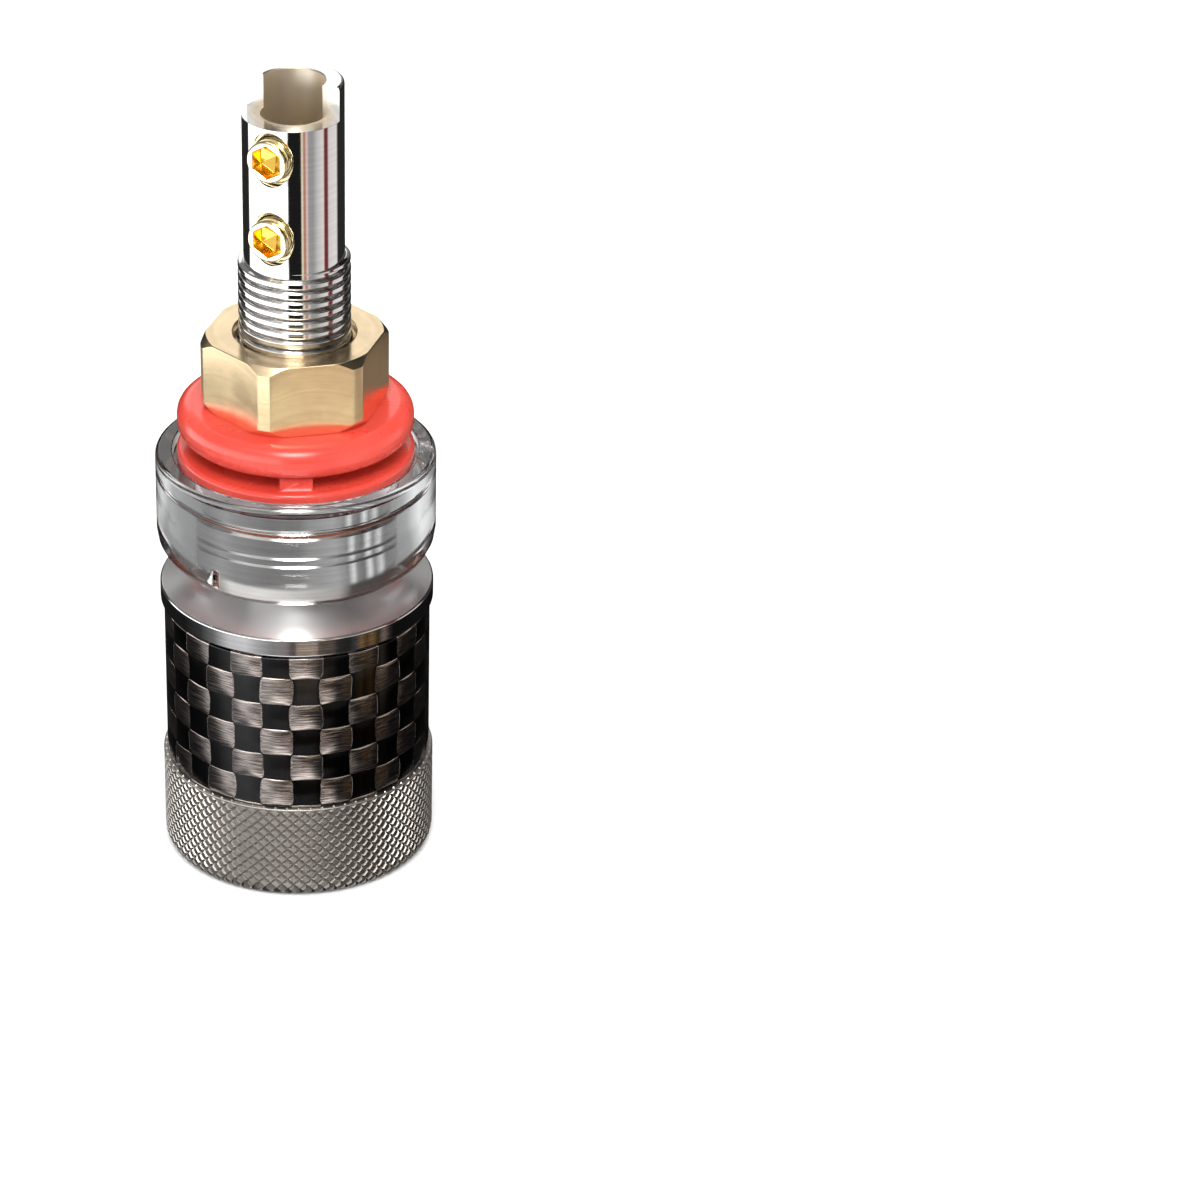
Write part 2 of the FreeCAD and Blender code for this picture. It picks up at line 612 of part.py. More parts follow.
def terminal_stud(doc, d, r, z):
    """The turned conductor: plug socket and front thread, contact flange, rear thread, tube."""
    stop_top = z.stop_bottom + d.stop_thickness + d.seam * 2
    half = d.groove_width * 0.5
    first = z.contact + d.groove_first
    second = z.contact + d.groove_second
    body = turned(doc, "terminal_stud", (
        (0, z.stud_front), (d.thread_radius - d.thread_lead, z.stud_front),
        (d.thread_radius, z.stud_front + d.thread_lead), (d.thread_radius, z.stop_bottom),
        (r.stop_floor, z.stop_bottom), (r.stop_floor, stop_top), (d.thread_radius, stop_top),
        (d.thread_radius, z.contact), (r.flange, z.contact),
        (r.flange, first - half), (r.flange_groove, first), (r.flange, first + half),
        (r.flange, second - half), (r.flange_groove, second), (r.flange, second + half),
        (r.flange, z.flange_wide), (r.flange_top, z.flange_wide + d.flange_step),
        (r.flange_top, z.flange_top), (d.thread_radius, z.flange_top),
        (d.thread_radius, z.thread_top), (r.tube, z.tube_bottom), (r.tube, z.tube_top),
        (0, z.tube_top),
    ))
    dressed(doc, body, "Fillet", "tube_end", d.tube_round, (r.tube, z.tube_top))
    floor = z.stud_front + d.plug_depth
    bored(doc, body, "plug_socket", (
        (0, z.stud_front), (d.plug_bore + d.plug_lead, z.stud_front),
        (d.plug_bore, z.stud_front + d.plug_lead), (d.plug_bore, floor),
        (0, floor + d.plug_bore * 0.5),
    ))
    wire_floor = z.tube_top - d.wire_depth
    bored(doc, body, "wire_cup", (
        (0, z.tube_top), (d.wire_bore, z.tube_top), (d.wire_bore, wire_floor),
        (0, wire_floor - d.wire_bore * 0.5),
    ))
    half_cut = new_sketch(body, "half_cut_outline", "XY_Plane", z.tube_top, d.screw_azimuth)
    reach = d.thread_radius
    front = -reach
    draw_outline(half_cut, ((-reach, front), (reach, front), (reach, 0), (-reach, 0)))
    pocket(doc, body, half_cut, "half_cut", d.tube_cut)
    tapped = new_sketch(body, "screw_holes", "XZ_Plane", turn=d.screw_azimuth)
    for height in (z.low_screw, z.high_screw):
        draw_circle(tapped, 0, height, r.screw_hole)
    pocket(doc, body, tapped, "tapped_holes", reach, outward=True)
    floor = d.screw_sink - r.tube
    brim = -(r.tube + d.screw_sink)
    cone = ((0, floor), (r.screw_hole, floor), (r.screw_hole + d.screw_sink * 2, brim), (0, brim))
    for name, height in (("lower_sink", z.low_screw), ("upper_sink", z.high_screw)):
        bored(doc, body, name, cone, "XY_Plane", height, d.screw_azimuth)
    pins = new_sketch(body, "flange_pin_holes", "XY_Plane", z.flange_top)
    draw_pin_holes(pins, r)
    pocket(doc, body, pins, "flange_pin_seats", d.pin_in_flange + d.seam)


def draw_pin_holes(sketch, r):
    """The two holes for the locating pins, left and right of the axis."""
    for side in (-1, 1):
        draw_circle(sketch, r.pins * side, 0, r.pin_hole)


def stop_ring(doc, d, r, z):
    """The snap ring at the stud's front end, which keeps the knob from coming off."""
    bottom = z.stop_bottom + d.seam
    top = bottom + d.stop_thickness
    inner = r.stop_floor + d.seam
    body = turned(doc, "stop_ring", (
        (inner, bottom), (r.stop, bottom), (r.stop, top), (inner, top),
    ))
    slot_open(doc, body, d, "stop_ring", r.stop + d.seam, bottom, d.stop_thickness)


def clear_collar(doc, d, r, z):
    """The clear collar: a deep front rounding, bored in steps round the contact flange."""
    step = r.flange_top + d.seam
    body = turned(doc, "clear_collar", (
        (r.collar_bore, z.collar_bottom), (r.collar, z.collar_bottom),
        (r.collar, z.collar_top), (r.recess, z.collar_top), (r.recess, z.recess),
        (r.fixed_bore, z.recess), (r.fixed_bore, z.web_bottom), (step, z.web_bottom),
        (step, z.flange_wide + d.flange_step), (r.collar_bore, z.flange_wide + d.seam),
    ))
    dressed(doc, body, "Fillet", "collar_front_round", d.collar_round, (r.collar, z.collar_bottom))
    dressed(doc, body, "Fillet", "collar_rear_round", d.collar_edge, (r.collar, z.collar_top))
    pins = new_sketch(body, "collar_pin_holes", "XY_Plane", z.recess)
    draw_pin_holes(pins, r)
    pocket(doc, body, pins, "collar_pin_seats", d.collar_web)
    mark = new_sketch(body, "mark_outline", "XY_Plane", z.collar_bottom, d.mark_azimuth)
    for side in (-1, 1):
        draw_circle(mark, 0, r.marks * side, d.mark_radius)
    pocket(doc, body, mark, "ejector_marks", d.mark_depth, outward=True)


def front_insulator(doc, d, r, z):
    """The red insulator in front of the panel: flange, neck for the hole, and a key."""
    body = turned(doc, "front_insulator", (
        (r.fixed_bore, z.recess), (r.insulator, z.recess), (r.insulator, z.insulator_top),
        (d.neck_radius, z.insulator_top), (d.neck_radius, z.neck_top), (r.fixed_bore, z.neck_top),
    ))
    dressed(doc, body, "Fillet", "insulator_round", d.insulator_edge,
            (r.insulator, z.insulator_top))
    key = new_sketch(body, "key_outline", "XY_Plane", z.insulator_top)
    half = d.key_width * 0.5
    tip = -d.key_reach
    root = half - d.neck_radius
    draw_outline(key, ((-half, tip), (half, tip), (half, root), (-half, root)))
    padded(doc, body, key, "panel_key", d.panel_gap)
    pins = new_sketch(body, "insulator_pin_holes", "XY_Plane", z.recess)
    draw_pin_holes(pins, r)
    pocket(doc, body, pins, "insulator_pin_seats", d.pin_in_insulator + d.seam, outward=True)


def locating_pin(doc, d, r, z, label, side):
    """One of the two pins that stop the stud, collar and insulator from turning apart."""
    pin = doc.addObject("Part::Cylinder", label)
    pin.Label = label
    bottom = z.flange_top - d.pin_in_flange
    length = z.recess + d.pin_in_insulator - bottom
    across = r.pins * side
    pin.setExpression("Radius", d.pin_radius.text)
    pin.setExpression("Height", length.text)
    pin.Placement = Placement(Vector(across.value, 0, bottom.value), Rotation())
    pin.setExpression(".Placement.Base.x", across.text)
    pin.setExpression(".Placement.Base.z", bottom.text)


def rear_washer(doc, d, r, z):
    """The red washer behind the panel, with a seat for the insulator's neck."""
    floor = z.washer_bottom + d.washer_seat
    body = turned(doc, "rear_washer", (
        (r.washer_seat, z.washer_bottom), (r.washer, z.washer_bottom), (r.washer, z.washer_top),
        (r.washer_bore, z.washer_top), (r.washer_bore, floor), (r.washer_seat, floor),
    ))
    dressed(doc, body, "Fillet", "washer_round", d.washer_edge,
            (r.washer, z.washer_bottom), (r.washer, z.washer_top))


def panel_nut(doc, d, r, z):
    """The brass nut: a turned blank with six milled flats."""
    bore = r.threaded_bore
    sink = bore + d.nut_sink
    body = turned(doc, "panel_nut", (
        (sink, z.washer_top), (r.nut_face, z.washer_top), (r.nut_corner, z.washer_top + d.nut_drop),
        (r.nut_corner, z.nut_top - d.nut_drop), (r.nut_face, z.nut_top), (sink, z.nut_top),
        (bore, z.nut_top - d.nut_sink), (bore, z.washer_top + d.nut_sink),
    ))
    sketch = new_sketch(body, "flat_outline", "XY_Plane", z.nut_top)
    flat = d.nut_flats * 0.5
    reach = r.nut_corner + d.nut_sink
    draw_outline(sketch, ((-reach, flat), (reach, flat), (reach, reach), (-reach, reach)))
    mill = pocket(doc, body, sketch, "flat", d.nut_height)
    ring_of(doc, body, mill, "flats", d.nut_sides)
    body.Placement = Placement(Vector(), Rotation(Vector(0, 0, 1), d.nut_turn.value))
    body.setExpression(".Placement.Rotation.Angle", d.nut_turn.text)


def clamp_screw(doc, d, r, label, height):
    """A short screw with a hexagon socket, set radially in the wire tube, its axis along +X."""
    body = doc.addObject("PartDesign::Body", label)
    body.Label = label
    head = r.screw_head
    tip = head - d.screw_length
    sketch = new_sketch(body, f"{label}_section")
    small = d.screw_radius - d.screw_edge
    draw_outline(sketch, (
        (tip, 0), (tip, small), (tip + d.screw_edge, d.screw_radius),
        (head - d.screw_edge, d.screw_radius), (head, small), (head, 0),
    ))
    turn = body.newObject("PartDesign::Revolution", f"{label}_turned")
    turn.Profile = sketch
    turn.ReferenceAxis = (sketch, ["H_Axis"])
    turn.Angle = 360
    doc.recompute()
    socket = new_sketch(body, f"{label}_socket_outline", "YZ_Plane", head)
    corner = d.screw_key * (2 / math.sqrt(3))
    shift = d.screw_key * (1 / math.sqrt(3))
    draw_outline(socket, (
        (0, corner), (d.screw_key, shift), (d.screw_key, -shift),
        (0, -corner), (-d.screw_key, -shift), (-d.screw_key, shift),
    ))
    pocket(doc, body, socket, f"{label}_socket", d.screw_key_depth)
    aim = d.screw_azimuth + 90
    body.Placement = Placement(Vector(0, 0, height.value), Rotation(Vector(0, 0, -1), aim.value))
    body.setExpression(".Placement.Base.z", height.text)
    body.setExpression(".Placement.Rotation.Angle", aim.text)


def build(doc):
    """Every piece of the binding post."""
    d = Sizes(fill_sheet(doc))
    r = Radii(d)
    z = Levels(d)
    makers = (
        knurled_cap, carbon_sleeve, knob_core, threaded_bush, ratchet_ring, disc_spring,
        spring_snap_ring, thrust_washer, pressure_ring, ring_clip, socket_insert,
        terminal_stud, stop_ring, clear_collar, front_insulator, rear_washer, panel_nut,
    )
    for maker in makers:
        maker(doc, d, r, z)
    for label, side in (("left_locating_pin", -1), ("right_locating_pin", 1)):
        locating_pin(doc, d, r, z, label, side)
    clamp_screw(doc, d, r, "lower_clamp_screw", z.low_screw)
    clamp_screw(doc, d, r, "upper_clamp_screw", z.high_screw)
    doc.recompute()


def check(doc):
    """Stop if any object failed, or if a piece is empty or not valid; return the pieces."""
    for thing in doc.Objects:
        if "Invalid" in thing.State or "Error" in thing.State:
            raise RuntimeError(f"{thing.Label} failed: {thing.State}")
    kinds = ("PartDesign::Body", "Part::Cylinder")
    pieces = [thing for thing in doc.Objects if thing.TypeId in kinds]
    for piece in pieces:
        shape = piece.Shape
        if shape.isNull() or not shape.isValid() or len(shape.Solids) != 1:
            raise RuntimeError(f"{piece.Label} isn't one valid solid")
    return pieces


def main():
    doc = FreeCAD.newDocument("binding_post")
    build(doc)
    os.makedirs("parts", exist_ok=True)
    for piece in check(doc):
        piece.Shape.exportStep(f"parts/{piece.Label}.step")
        print(f"{piece.Label:20s} {piece.Shape.Volume:9.2f} mm3")


main()
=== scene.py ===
"""The binding post as it looks: finely turned pieces, their finishes, floor, light and camera.

Sizes are in millimetres until a mesh is finished; the frame and Blender's world are in metres.
"""
import json
import math

import bmesh
import bpy
from mathutils import Matrix, Vector


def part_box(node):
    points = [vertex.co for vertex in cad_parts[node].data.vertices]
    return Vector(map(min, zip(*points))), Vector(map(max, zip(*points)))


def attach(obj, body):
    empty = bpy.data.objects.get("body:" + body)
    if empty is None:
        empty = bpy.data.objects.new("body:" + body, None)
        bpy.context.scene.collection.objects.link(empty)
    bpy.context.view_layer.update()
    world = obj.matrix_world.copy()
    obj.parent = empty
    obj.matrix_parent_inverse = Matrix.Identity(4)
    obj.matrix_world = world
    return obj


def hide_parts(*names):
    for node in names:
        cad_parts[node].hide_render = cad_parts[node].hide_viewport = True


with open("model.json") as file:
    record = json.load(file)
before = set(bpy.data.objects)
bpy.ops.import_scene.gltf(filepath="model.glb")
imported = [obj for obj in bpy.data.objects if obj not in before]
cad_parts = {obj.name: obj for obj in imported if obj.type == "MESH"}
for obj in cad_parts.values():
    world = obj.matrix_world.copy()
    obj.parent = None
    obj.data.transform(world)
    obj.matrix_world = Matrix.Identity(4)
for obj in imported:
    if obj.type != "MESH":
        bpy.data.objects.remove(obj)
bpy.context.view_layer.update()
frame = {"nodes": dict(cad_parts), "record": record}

MILLIMETRE = 0.001
TURN = 2 * math.pi

# how finely the pieces are cut
AROUND = 144
DRILL_SIDES = 64
ARC_STEPS = 5
SUPPORT = 0.03
SOFT_EDGE = 0.06
CREASE = math.radians(28)
CLOSE = 1e-5
OVERSHOOT = 1.0

# terminal stud
THREAD_ROOT = 3.54
PLUG_BORE = 2.05
PLUG_FLOOR = 22.4
PLUG_LEAD = 0.4
CONTACT_FACE = 23.2
FLANGE_STEP_BOTTOM = 28.4
FLANGE_STEP = 0.5
FLANGE_TOP = 30.0
FLANGE_GROOVES = (26.4, 27.05)
GROOVE_DEPTH = 0.16
GROOVE_WIDTH = 0.3
THREAD_TOP = 46.4
WIRE_BORE = 2.25
WIRE_FLOOR = 46.8
TUBE_ROUND = 0.24
TUBE_SLICES = 26
SLICE_STEP = 0.4
EDGE_BEVEL = 0.1
BEVEL_CREASE = math.radians(40)
HALF_CUT = 2.45
SCREW_AZIMUTH = math.radians(27)
SCREW_AIM = Vector((-math.sin(SCREW_AZIMUTH), -math.cos(SCREW_AZIMUTH), 0))
SCREW_HEIGHTS = (49.2, 55.05)
SCREW_HOLE = 1.55
SCREW_SINK = 0.45

# threads, with the tooth's widths and rounding as shares of the pitch
THREAD_PITCH = 0.75
THREAD_DEPTH = 0.44
THREAD_RUN_OUT = 0.3
FRONT_THREAD_START = 2.0
TOOTH_BASE = 0.98
TOOTH_CREST = 0.6
TOOTH_ROUND = 0.2
TOOTH_SEAT = 0.44

# clamp screws
SCREW_RADIUS = 1.5
SCREW_LENGTH = 1.8
SCREW_STAND = 0.56
SCREW_TIP = 0.2
SCREW_PITCH = 0.5
SCREW_THREAD_DEPTH = 0.2
SCREW_KEY = 1.02
SCREW_KEY_DEPTH = 1.2

# knob
KNURL_COUNT = 72
KNURL_PITCH = 0.86
KNURL_DEPTH = 0.2
KNURL_TOP = 0.6
KNURL_BEND = math.radians(62)
FACE_ROUND = 1.2
FACE_ARC = (90, 86, 80, 74, 68, 65)
ROOT_ARC = (65, 52, 39, 26, 13, 0)
CAP_RIM = 0.12
INSERT_SEAT = 4.95
INSERT_LIP = 0.7
INSERT_DEPTH = 2.2
CAP_WALL = 2.6
SLEEVE_WALL = 0.95
INSERT_HOLE = 2.6
LOBE_RADIUS = 1.3
LOBE_CIRCLE = 1.9
LOBES = 7
RING_THICKNESS = 1.4
RING_BORE = 4.15
HUB_RADIUS = 6.62

# collar
COLLAR_ROUND = 2.6
COLLAR_BORE = 7.25
COLLAR_STEP_BORE = 6.75
COLLAR_WEB_BOTTOM = 30.05
COLLAR_HOLE = 4.05
RECESS_RADIUS = 8.75
RECESS_FLOOR = 31.15
MARK_RADIUS = 0.7
MARK_CIRCLE = 8.6
MARK_DEPTH = 0.95
MARK_AZIMUTH = math.radians(52)

# red pieces and nut
INSULATOR_TOP = 32.15
NECK_RADIUS = 5.9
KEY_REACH = 7.7
KEY_WIDTH = 2.3
KEY_TOP = 33.1
WASHER_ROUND = 1.0
WASHER_BORE = 4.1
WASHER_RECESS = 1.3
NECK_PLAY = 0.1
NUT_FLAT = 6.0
NUT_CORNER = 6.68
NUT_FACE = 6.25
NUT_DROP = 0.55
NUT_BORE = 4.05
NUT_SINK = 0.36
NUT_TURN = math.radians(10.8)
NUT_SOFT = 0.02

# camera
PHOTO_WIDTH = 1200
FOCAL_PIXELS = 4333.64
SENSOR = 36.0
CAMERA_PLACE = (0.0, -277.1491, 169.4676)
CAMERA_RIGHT = (0.99753065, -0.06546162, 0.02544379)
CAMERA_UP = (0.008826, 0.47624948, 0.87926591)
CAMERA_AHEAD = (0.06967576, 0.87687012, -0.47565122)


def span(node):
    """A node's outer radius, bottom and top, in millimetres."""
    low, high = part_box(node)
    return high.x / MILLIMETRE, low.z / MILLIMETRE, high.z / MILLIMETRE


def polar(radius, angle, height):
    """A point round the post's axis; the angle counts from +X towards +Y."""
    return Vector((radius * math.cos(angle), radius * math.sin(angle), height))


def arc(before, corner, after, radius, shares):
    """Points that round one corner of a section, with its share of the run on each side."""
    one, two = before - corner, after - corner
    half = one.angle(two) / 2
    reach = min(radius / math.tan(half), one.length * shares[0], two.length * shares[1])
    one.normalize()
    two.normalize()
    centre = corner + (one + two).normalized() * (reach / math.cos(half))
    start = (corner + one * reach - centre).normalized()
    stop = (corner + two * reach - centre).normalized()
    size = reach * math.tan(half)
    return [centre + start.slerp(stop, step / ARC_STEPS) * size for step in range(ARC_STEPS + 1)]


def section(corners, closed=True):
    """A smooth section from (radius, height) or (radius, height, rounding) corners.

    Each corner is rounded, and the straight runs get a point near each end, so that
    smooth shading stays flat between the corners.
    """
    places = [Vector((corner[0], corner[1], 0)) for corner in corners]
    sizes = [corner[2] if len(corner) > 2 else SOFT_EDGE for corner in corners]
    groups = []
    for number in range(len(corners)):
        ends = not closed and number in (0, len(corners) - 1)
        if ends:
            groups.append([places[number]])
            continue
        following = (number + 1) % len(corners)
        radius = sizes[number]
        shares = [0.96 * radius / (radius + sizes[other]) for other in (number - 1, following)]
        groups.append(arc(places[number - 1], places[number], places[following], radius, shares))
    points = []
    for number, group in enumerate(groups):
        points += group
        if not closed and number == len(groups) - 1:
            break
        start, stop = group[-1], groups[(number + 1) % len(groups)][0]
        run = stop - start
        inset = run.normalized() * min(SUPPORT, run.length / 3)
        points += [start + inset, stop - inset]
    return [(point.x, point.y) for point in points]


def swept(section_at, angles, closed=True):
    """A solid whose section at each angle round the axis comes from a function."""
    solid = bmesh.new()
    columns = []
    for angle in angles:
        points = section_at(angle)
        columns.append([solid.verts.new(polar(radius, angle, height)) for radius, height in points])
    rows = len(columns[0])
    last = rows if closed else rows - 1
    for number, column in enumerate(columns):
        following = columns[(number + 1) % len(columns)]
        for row in range(last):
            above = (row + 1) % rows
            solid.faces.new((column[row], following[row], following[above], column[above]))
    bmesh.ops.remove_doubles(solid, verts=solid.verts, dist=CLOSE)
    bmesh.ops.recalc_face_normals(solid, faces=solid.faces)
    return solid


def even_angles(count):
    """Angles that divide a full turn evenly."""
    return [TURN * number / count for number in range(count)]


def turned(corners, closed=True, around=AROUND):
    """A turned solid from a section of corners."""
    points = section(corners, closed)
    return swept(lambda angle: points, even_angles(around), closed)


def as_object(solid, name):
    """An object, still in millimetres, from a solid."""
    mesh = bpy.data.meshes.new(name)
    solid.to_mesh(mesh)
    solid.free()
    made = bpy.data.objects.new(name, mesh)
    bpy.context.collection.objects.link(made)
    return made


def settle(made):
    """Turn an object's modifiers into plain mesh."""
    depsgraph = bpy.context.evaluated_depsgraph_get()
    depsgraph.update()
    mesh = bpy.data.meshes.new_from_object(made.evaluated_get(depsgraph))
    made.modifiers.clear()
    made.data = mesh
    return made


def cut(made, tools, operation="DIFFERENCE"):
    """Take the tools' solids away from a piece, or join them to it, and remove the tools."""
    for tool in tools:
        modifier = made.modifiers.new("cut", "BOOLEAN")
        modifier.object = tool
        modifier.operation = operation
        modifier.solver = "EXACT"
    settle(made)
    for tool in tools:
        bpy.data.objects.remove(tool)
    return made


def crisp(made):
    """Keep smooth surfaces smooth beside the edges that a cut has left."""
    made.data.set_sharp_from_angle(angle=CREASE)
    modifier = made.modifiers.new("normals", "WEIGHTED_NORMAL")
    modifier.keep_sharp = True
    modifier.weight = 100
    return settle(made)


def mark_inner(made, inside):
    """Mark the vertices inside a bore or socket, or on a face, where the piece's roughness changes and
    where some pieces get a painted highlight or painted shade in their colour.
    """
    layer = made.data.attributes.new("inner", "FLOAT", "POINT")
    for vertex in made.data.vertices:
        layer.data[vertex.index].value = float(inside(vertex.co))


def drill(radius, length, place, aim, widening=0.0):
    """A cylinder or a cone to cut with, from a place along a direction."""
    solid = bmesh.new()
    turn = Vector(aim).to_track_quat("Z", "Y").to_matrix().to_4x4()
    middle = Vector(place) + Vector(aim).normalized() * (length / 2)
    bmesh.ops.create_cone(solid, cap_ends=True, segments=DRILL_SIDES, radius1=radius,
                          radius2=radius + widening, depth=length,
                          matrix=Matrix.Translation(middle) @ turn)
    return as_object(solid, "drill")


def block(low, high, turn):
    """A box, turned about the post's axis."""
    solid = bmesh.new()
    size = Vector(high) - Vector(low)
    middle = (Vector(high) + Vector(low)) / 2
    bmesh.ops.create_cube(solid, size=1)
    place = Matrix.Translation(middle) @ Matrix.Diagonal(size).to_4x4()
    bmesh.ops.transform(solid, matrix=Matrix.Rotation(turn, 4, "Z") @ place, verts=solid.verts)
    return as_object(solid, "block")


def finished(made, node, body, material, moved=None):
    """Bring a piece to metres, smooth it and let it stand for its CAD node."""
    made.name = node + "_seen"
    mesh = made.data
    mesh.name = made.name
    if moved:
        mesh.transform(moved)
    mesh.transform(Matrix.Scale(MILLIMETRE, 4))
    mesh.polygons.foreach_set("use_smooth", [True] * len(mesh.polygons))
    mesh.materials.clear()
    mesh.materials.append(material)
    mesh.polygons.foreach_set("material_index", [0] * len(mesh.polygons))
    mesh.update()
    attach(made, body)
    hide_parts(node)
    return made


# node trees

def put(tree, kind, inputs=None, **settings):
    """Add a node with its settings; each input is given a value or a link."""
    made = tree.nodes.new(kind)
    for name, value in settings.items():
        setattr(made, name, value)
    for name, value in (inputs or {}).items():
        socket = made.inputs[name]
        if isinstance(value, bpy.types.NodeSocket):
            tree.links.new(value, socket)
        else:
            socket.default_value = value
    return made


def calc(tree, operation, *values):
    """The result of a math node."""
    inputs = dict(enumerate(values))
    return put(tree, "ShaderNodeMath", inputs, operation=operation).outputs[0]


def blend(tree, factor, one, two):
    """A colour between two others."""
    made = put(tree, "ShaderNodeMix", {0: factor, 6: one, 7: two}, data_type="RGBA")
    return made.outputs[2]


def ramp(tree, value, low, high, to_low=0.0, to_high=1.0):
    """A value brought smoothly from one range to another."""
    inputs = {0: value, 1: low, 2: high, 3: to_low, 4: to_high}
    return put(tree, "ShaderNodeMapRange", inputs, interpolation_type="SMOOTHSTEP").outputs[0]


def new_group(name, kind, takes, gives):
    """A node group with named inputs, each (kind, name, value), and outputs, each (kind, name)."""
    tree = bpy.data.node_groups.new(name, kind)
    for socket_kind, socket_name, value in takes:
        socket = tree.interface.new_socket(socket_name, in_out="INPUT", socket_type=socket_kind)
        if value is not None:
            socket.default_value = value
    for socket_kind, socket_name in gives:
        tree.interface.new_socket(socket_name, in_out="OUTPUT", socket_type=socket_kind)
    return tree, tree.nodes.new("NodeGroupInput").outputs, tree.nodes.new("NodeGroupOutput").inputs


def grow(made, tree, **values):
    """Add to an object what a Geometry Nodes tree makes with the given inputs."""
    modifier = made.modifiers.new(tree.name, "NODES")
    modifier.node_group = tree
    for item in tree.interface.items_tree:
        if item.item_type == "SOCKET" and item.in_out == "INPUT" and item.name in values:
            modifier[item.identifier] = values[item.name]
    return settle(made)


FLOAT = "NodeSocketFloat"
WHOLE = "NodeSocketInt"
SHAPE = "NodeSocketGeometry"
STUFF = "NodeSocketMaterial"


def end_tree(tree, takes, gives, grown):
    """Join what a tree has grown, as plain mesh with its material, to what it was given."""
    plain = put(tree, "GeometryNodeRealizeInstances", {0: grown}).outputs[0]
    clad = put(tree, "GeometryNodeSetMaterial", {0: plain, "Material": takes["Material"]})
    joined = put(tree, "GeometryNodeJoinGeometry")
    tree.links.new(takes["Geometry"], joined.inputs[0])
    tree.links.new(clad.outputs[0], joined.inputs[0])
    tree.links.new(joined.outputs[0], gives["Geometry"])


def thread_tree():
    """A screw thread: a ridge that climbs round a root cylinder and fades at both ends."""
    tree, takes, gives = new_group("screw_thread", "GeometryNodeTree", (
        (SHAPE, "Geometry", None), (FLOAT, "Root", 3.5), (FLOAT, "Pitch", 0.75),
        (FLOAT, "Depth", 0.4), (FLOAT, "Bottom", 0.0), (FLOAT, "Turns", 10.0),
        (FLOAT, "Fade", 0.3), (WHOLE, "Steps", 72), (STUFF, "Material", None),
    ), ((SHAPE, "Geometry"),))
    climb = calc(tree, "MULTIPLY", takes["Turns"], takes["Pitch"])
    helix = put(tree, "GeometryNodeCurveSpiral", {
        "Resolution": takes["Steps"], "Rotations": takes["Turns"], "Start Radius": takes["Root"],
        "End Radius": takes["Root"], "Height": climb,
    }).outputs[0]
    upright = put(tree, "GeometryNodeSetCurveNormal", {0: helix}, mode="Z_UP").outputs[0]
    along = put(tree, "GeometryNodeSplineParameter").outputs["Factor"]
    turns_in = calc(tree, "MULTIPLY", along, takes["Turns"])
    turns_left = calc(tree, "SUBTRACT", takes["Turns"], turns_in)
    nearest = calc(tree, "MINIMUM", turns_in, turns_left)
    grown_in = ramp(tree, nearest, 0.0, takes["Fade"])
    sized = put(tree, "GeometryNodeSetCurveRadius", {0: upright, "Radius": grown_in}).outputs[0]
    blunt_tooth = put(tree, "GeometryNodeCurvePrimitiveQuadrilateral", {
        "Bottom Width": calc(tree, "MULTIPLY", takes["Pitch"], TOOTH_BASE),
        "Top Width": calc(tree, "MULTIPLY", takes["Pitch"], TOOTH_CREST),
        "Height": takes["Depth"], "Offset": 0.0,
    }, mode="TRAPEZOID").outputs[0]
    tooth = put(tree, "GeometryNodeFilletCurve", {
        "Curve": blunt_tooth, "Count": 3, "Limit Radius": True,
        "Radius": calc(tree, "MULTIPLY", takes["Pitch"], TOOTH_ROUND),
    }, mode="POLY").outputs[0]
    stand = put(tree, "ShaderNodeCombineXYZ", {
        0: calc(tree, "MULTIPLY", takes["Depth"], -TOOTH_SEAT),
    })
    turned_tooth = put(tree, "GeometryNodeTransform", {
        "Geometry": tooth, "Translation": stand.outputs[0], "Rotation": (0.0, 0.0, TURN / 4),
    }).outputs[0]
    ridge = put(tree, "GeometryNodeCurveToMesh", {"Curve": sized, "Profile Curve": turned_tooth})
    for socket in ridge.inputs:
        if socket.name == "Fill Caps":
            socket.default_value = True
        if socket.name == "Scale":
            tree.links.new(grown_in, socket)
    lift = put(tree, "ShaderNodeCombineXYZ", {2: takes["Bottom"]}).outputs[0]
    placed = put(tree, "GeometryNodeTransform", {"Geometry": ridge.outputs[0], "Translation": lift})
    end_tree(tree, takes, gives, placed.outputs[0])
    return tree


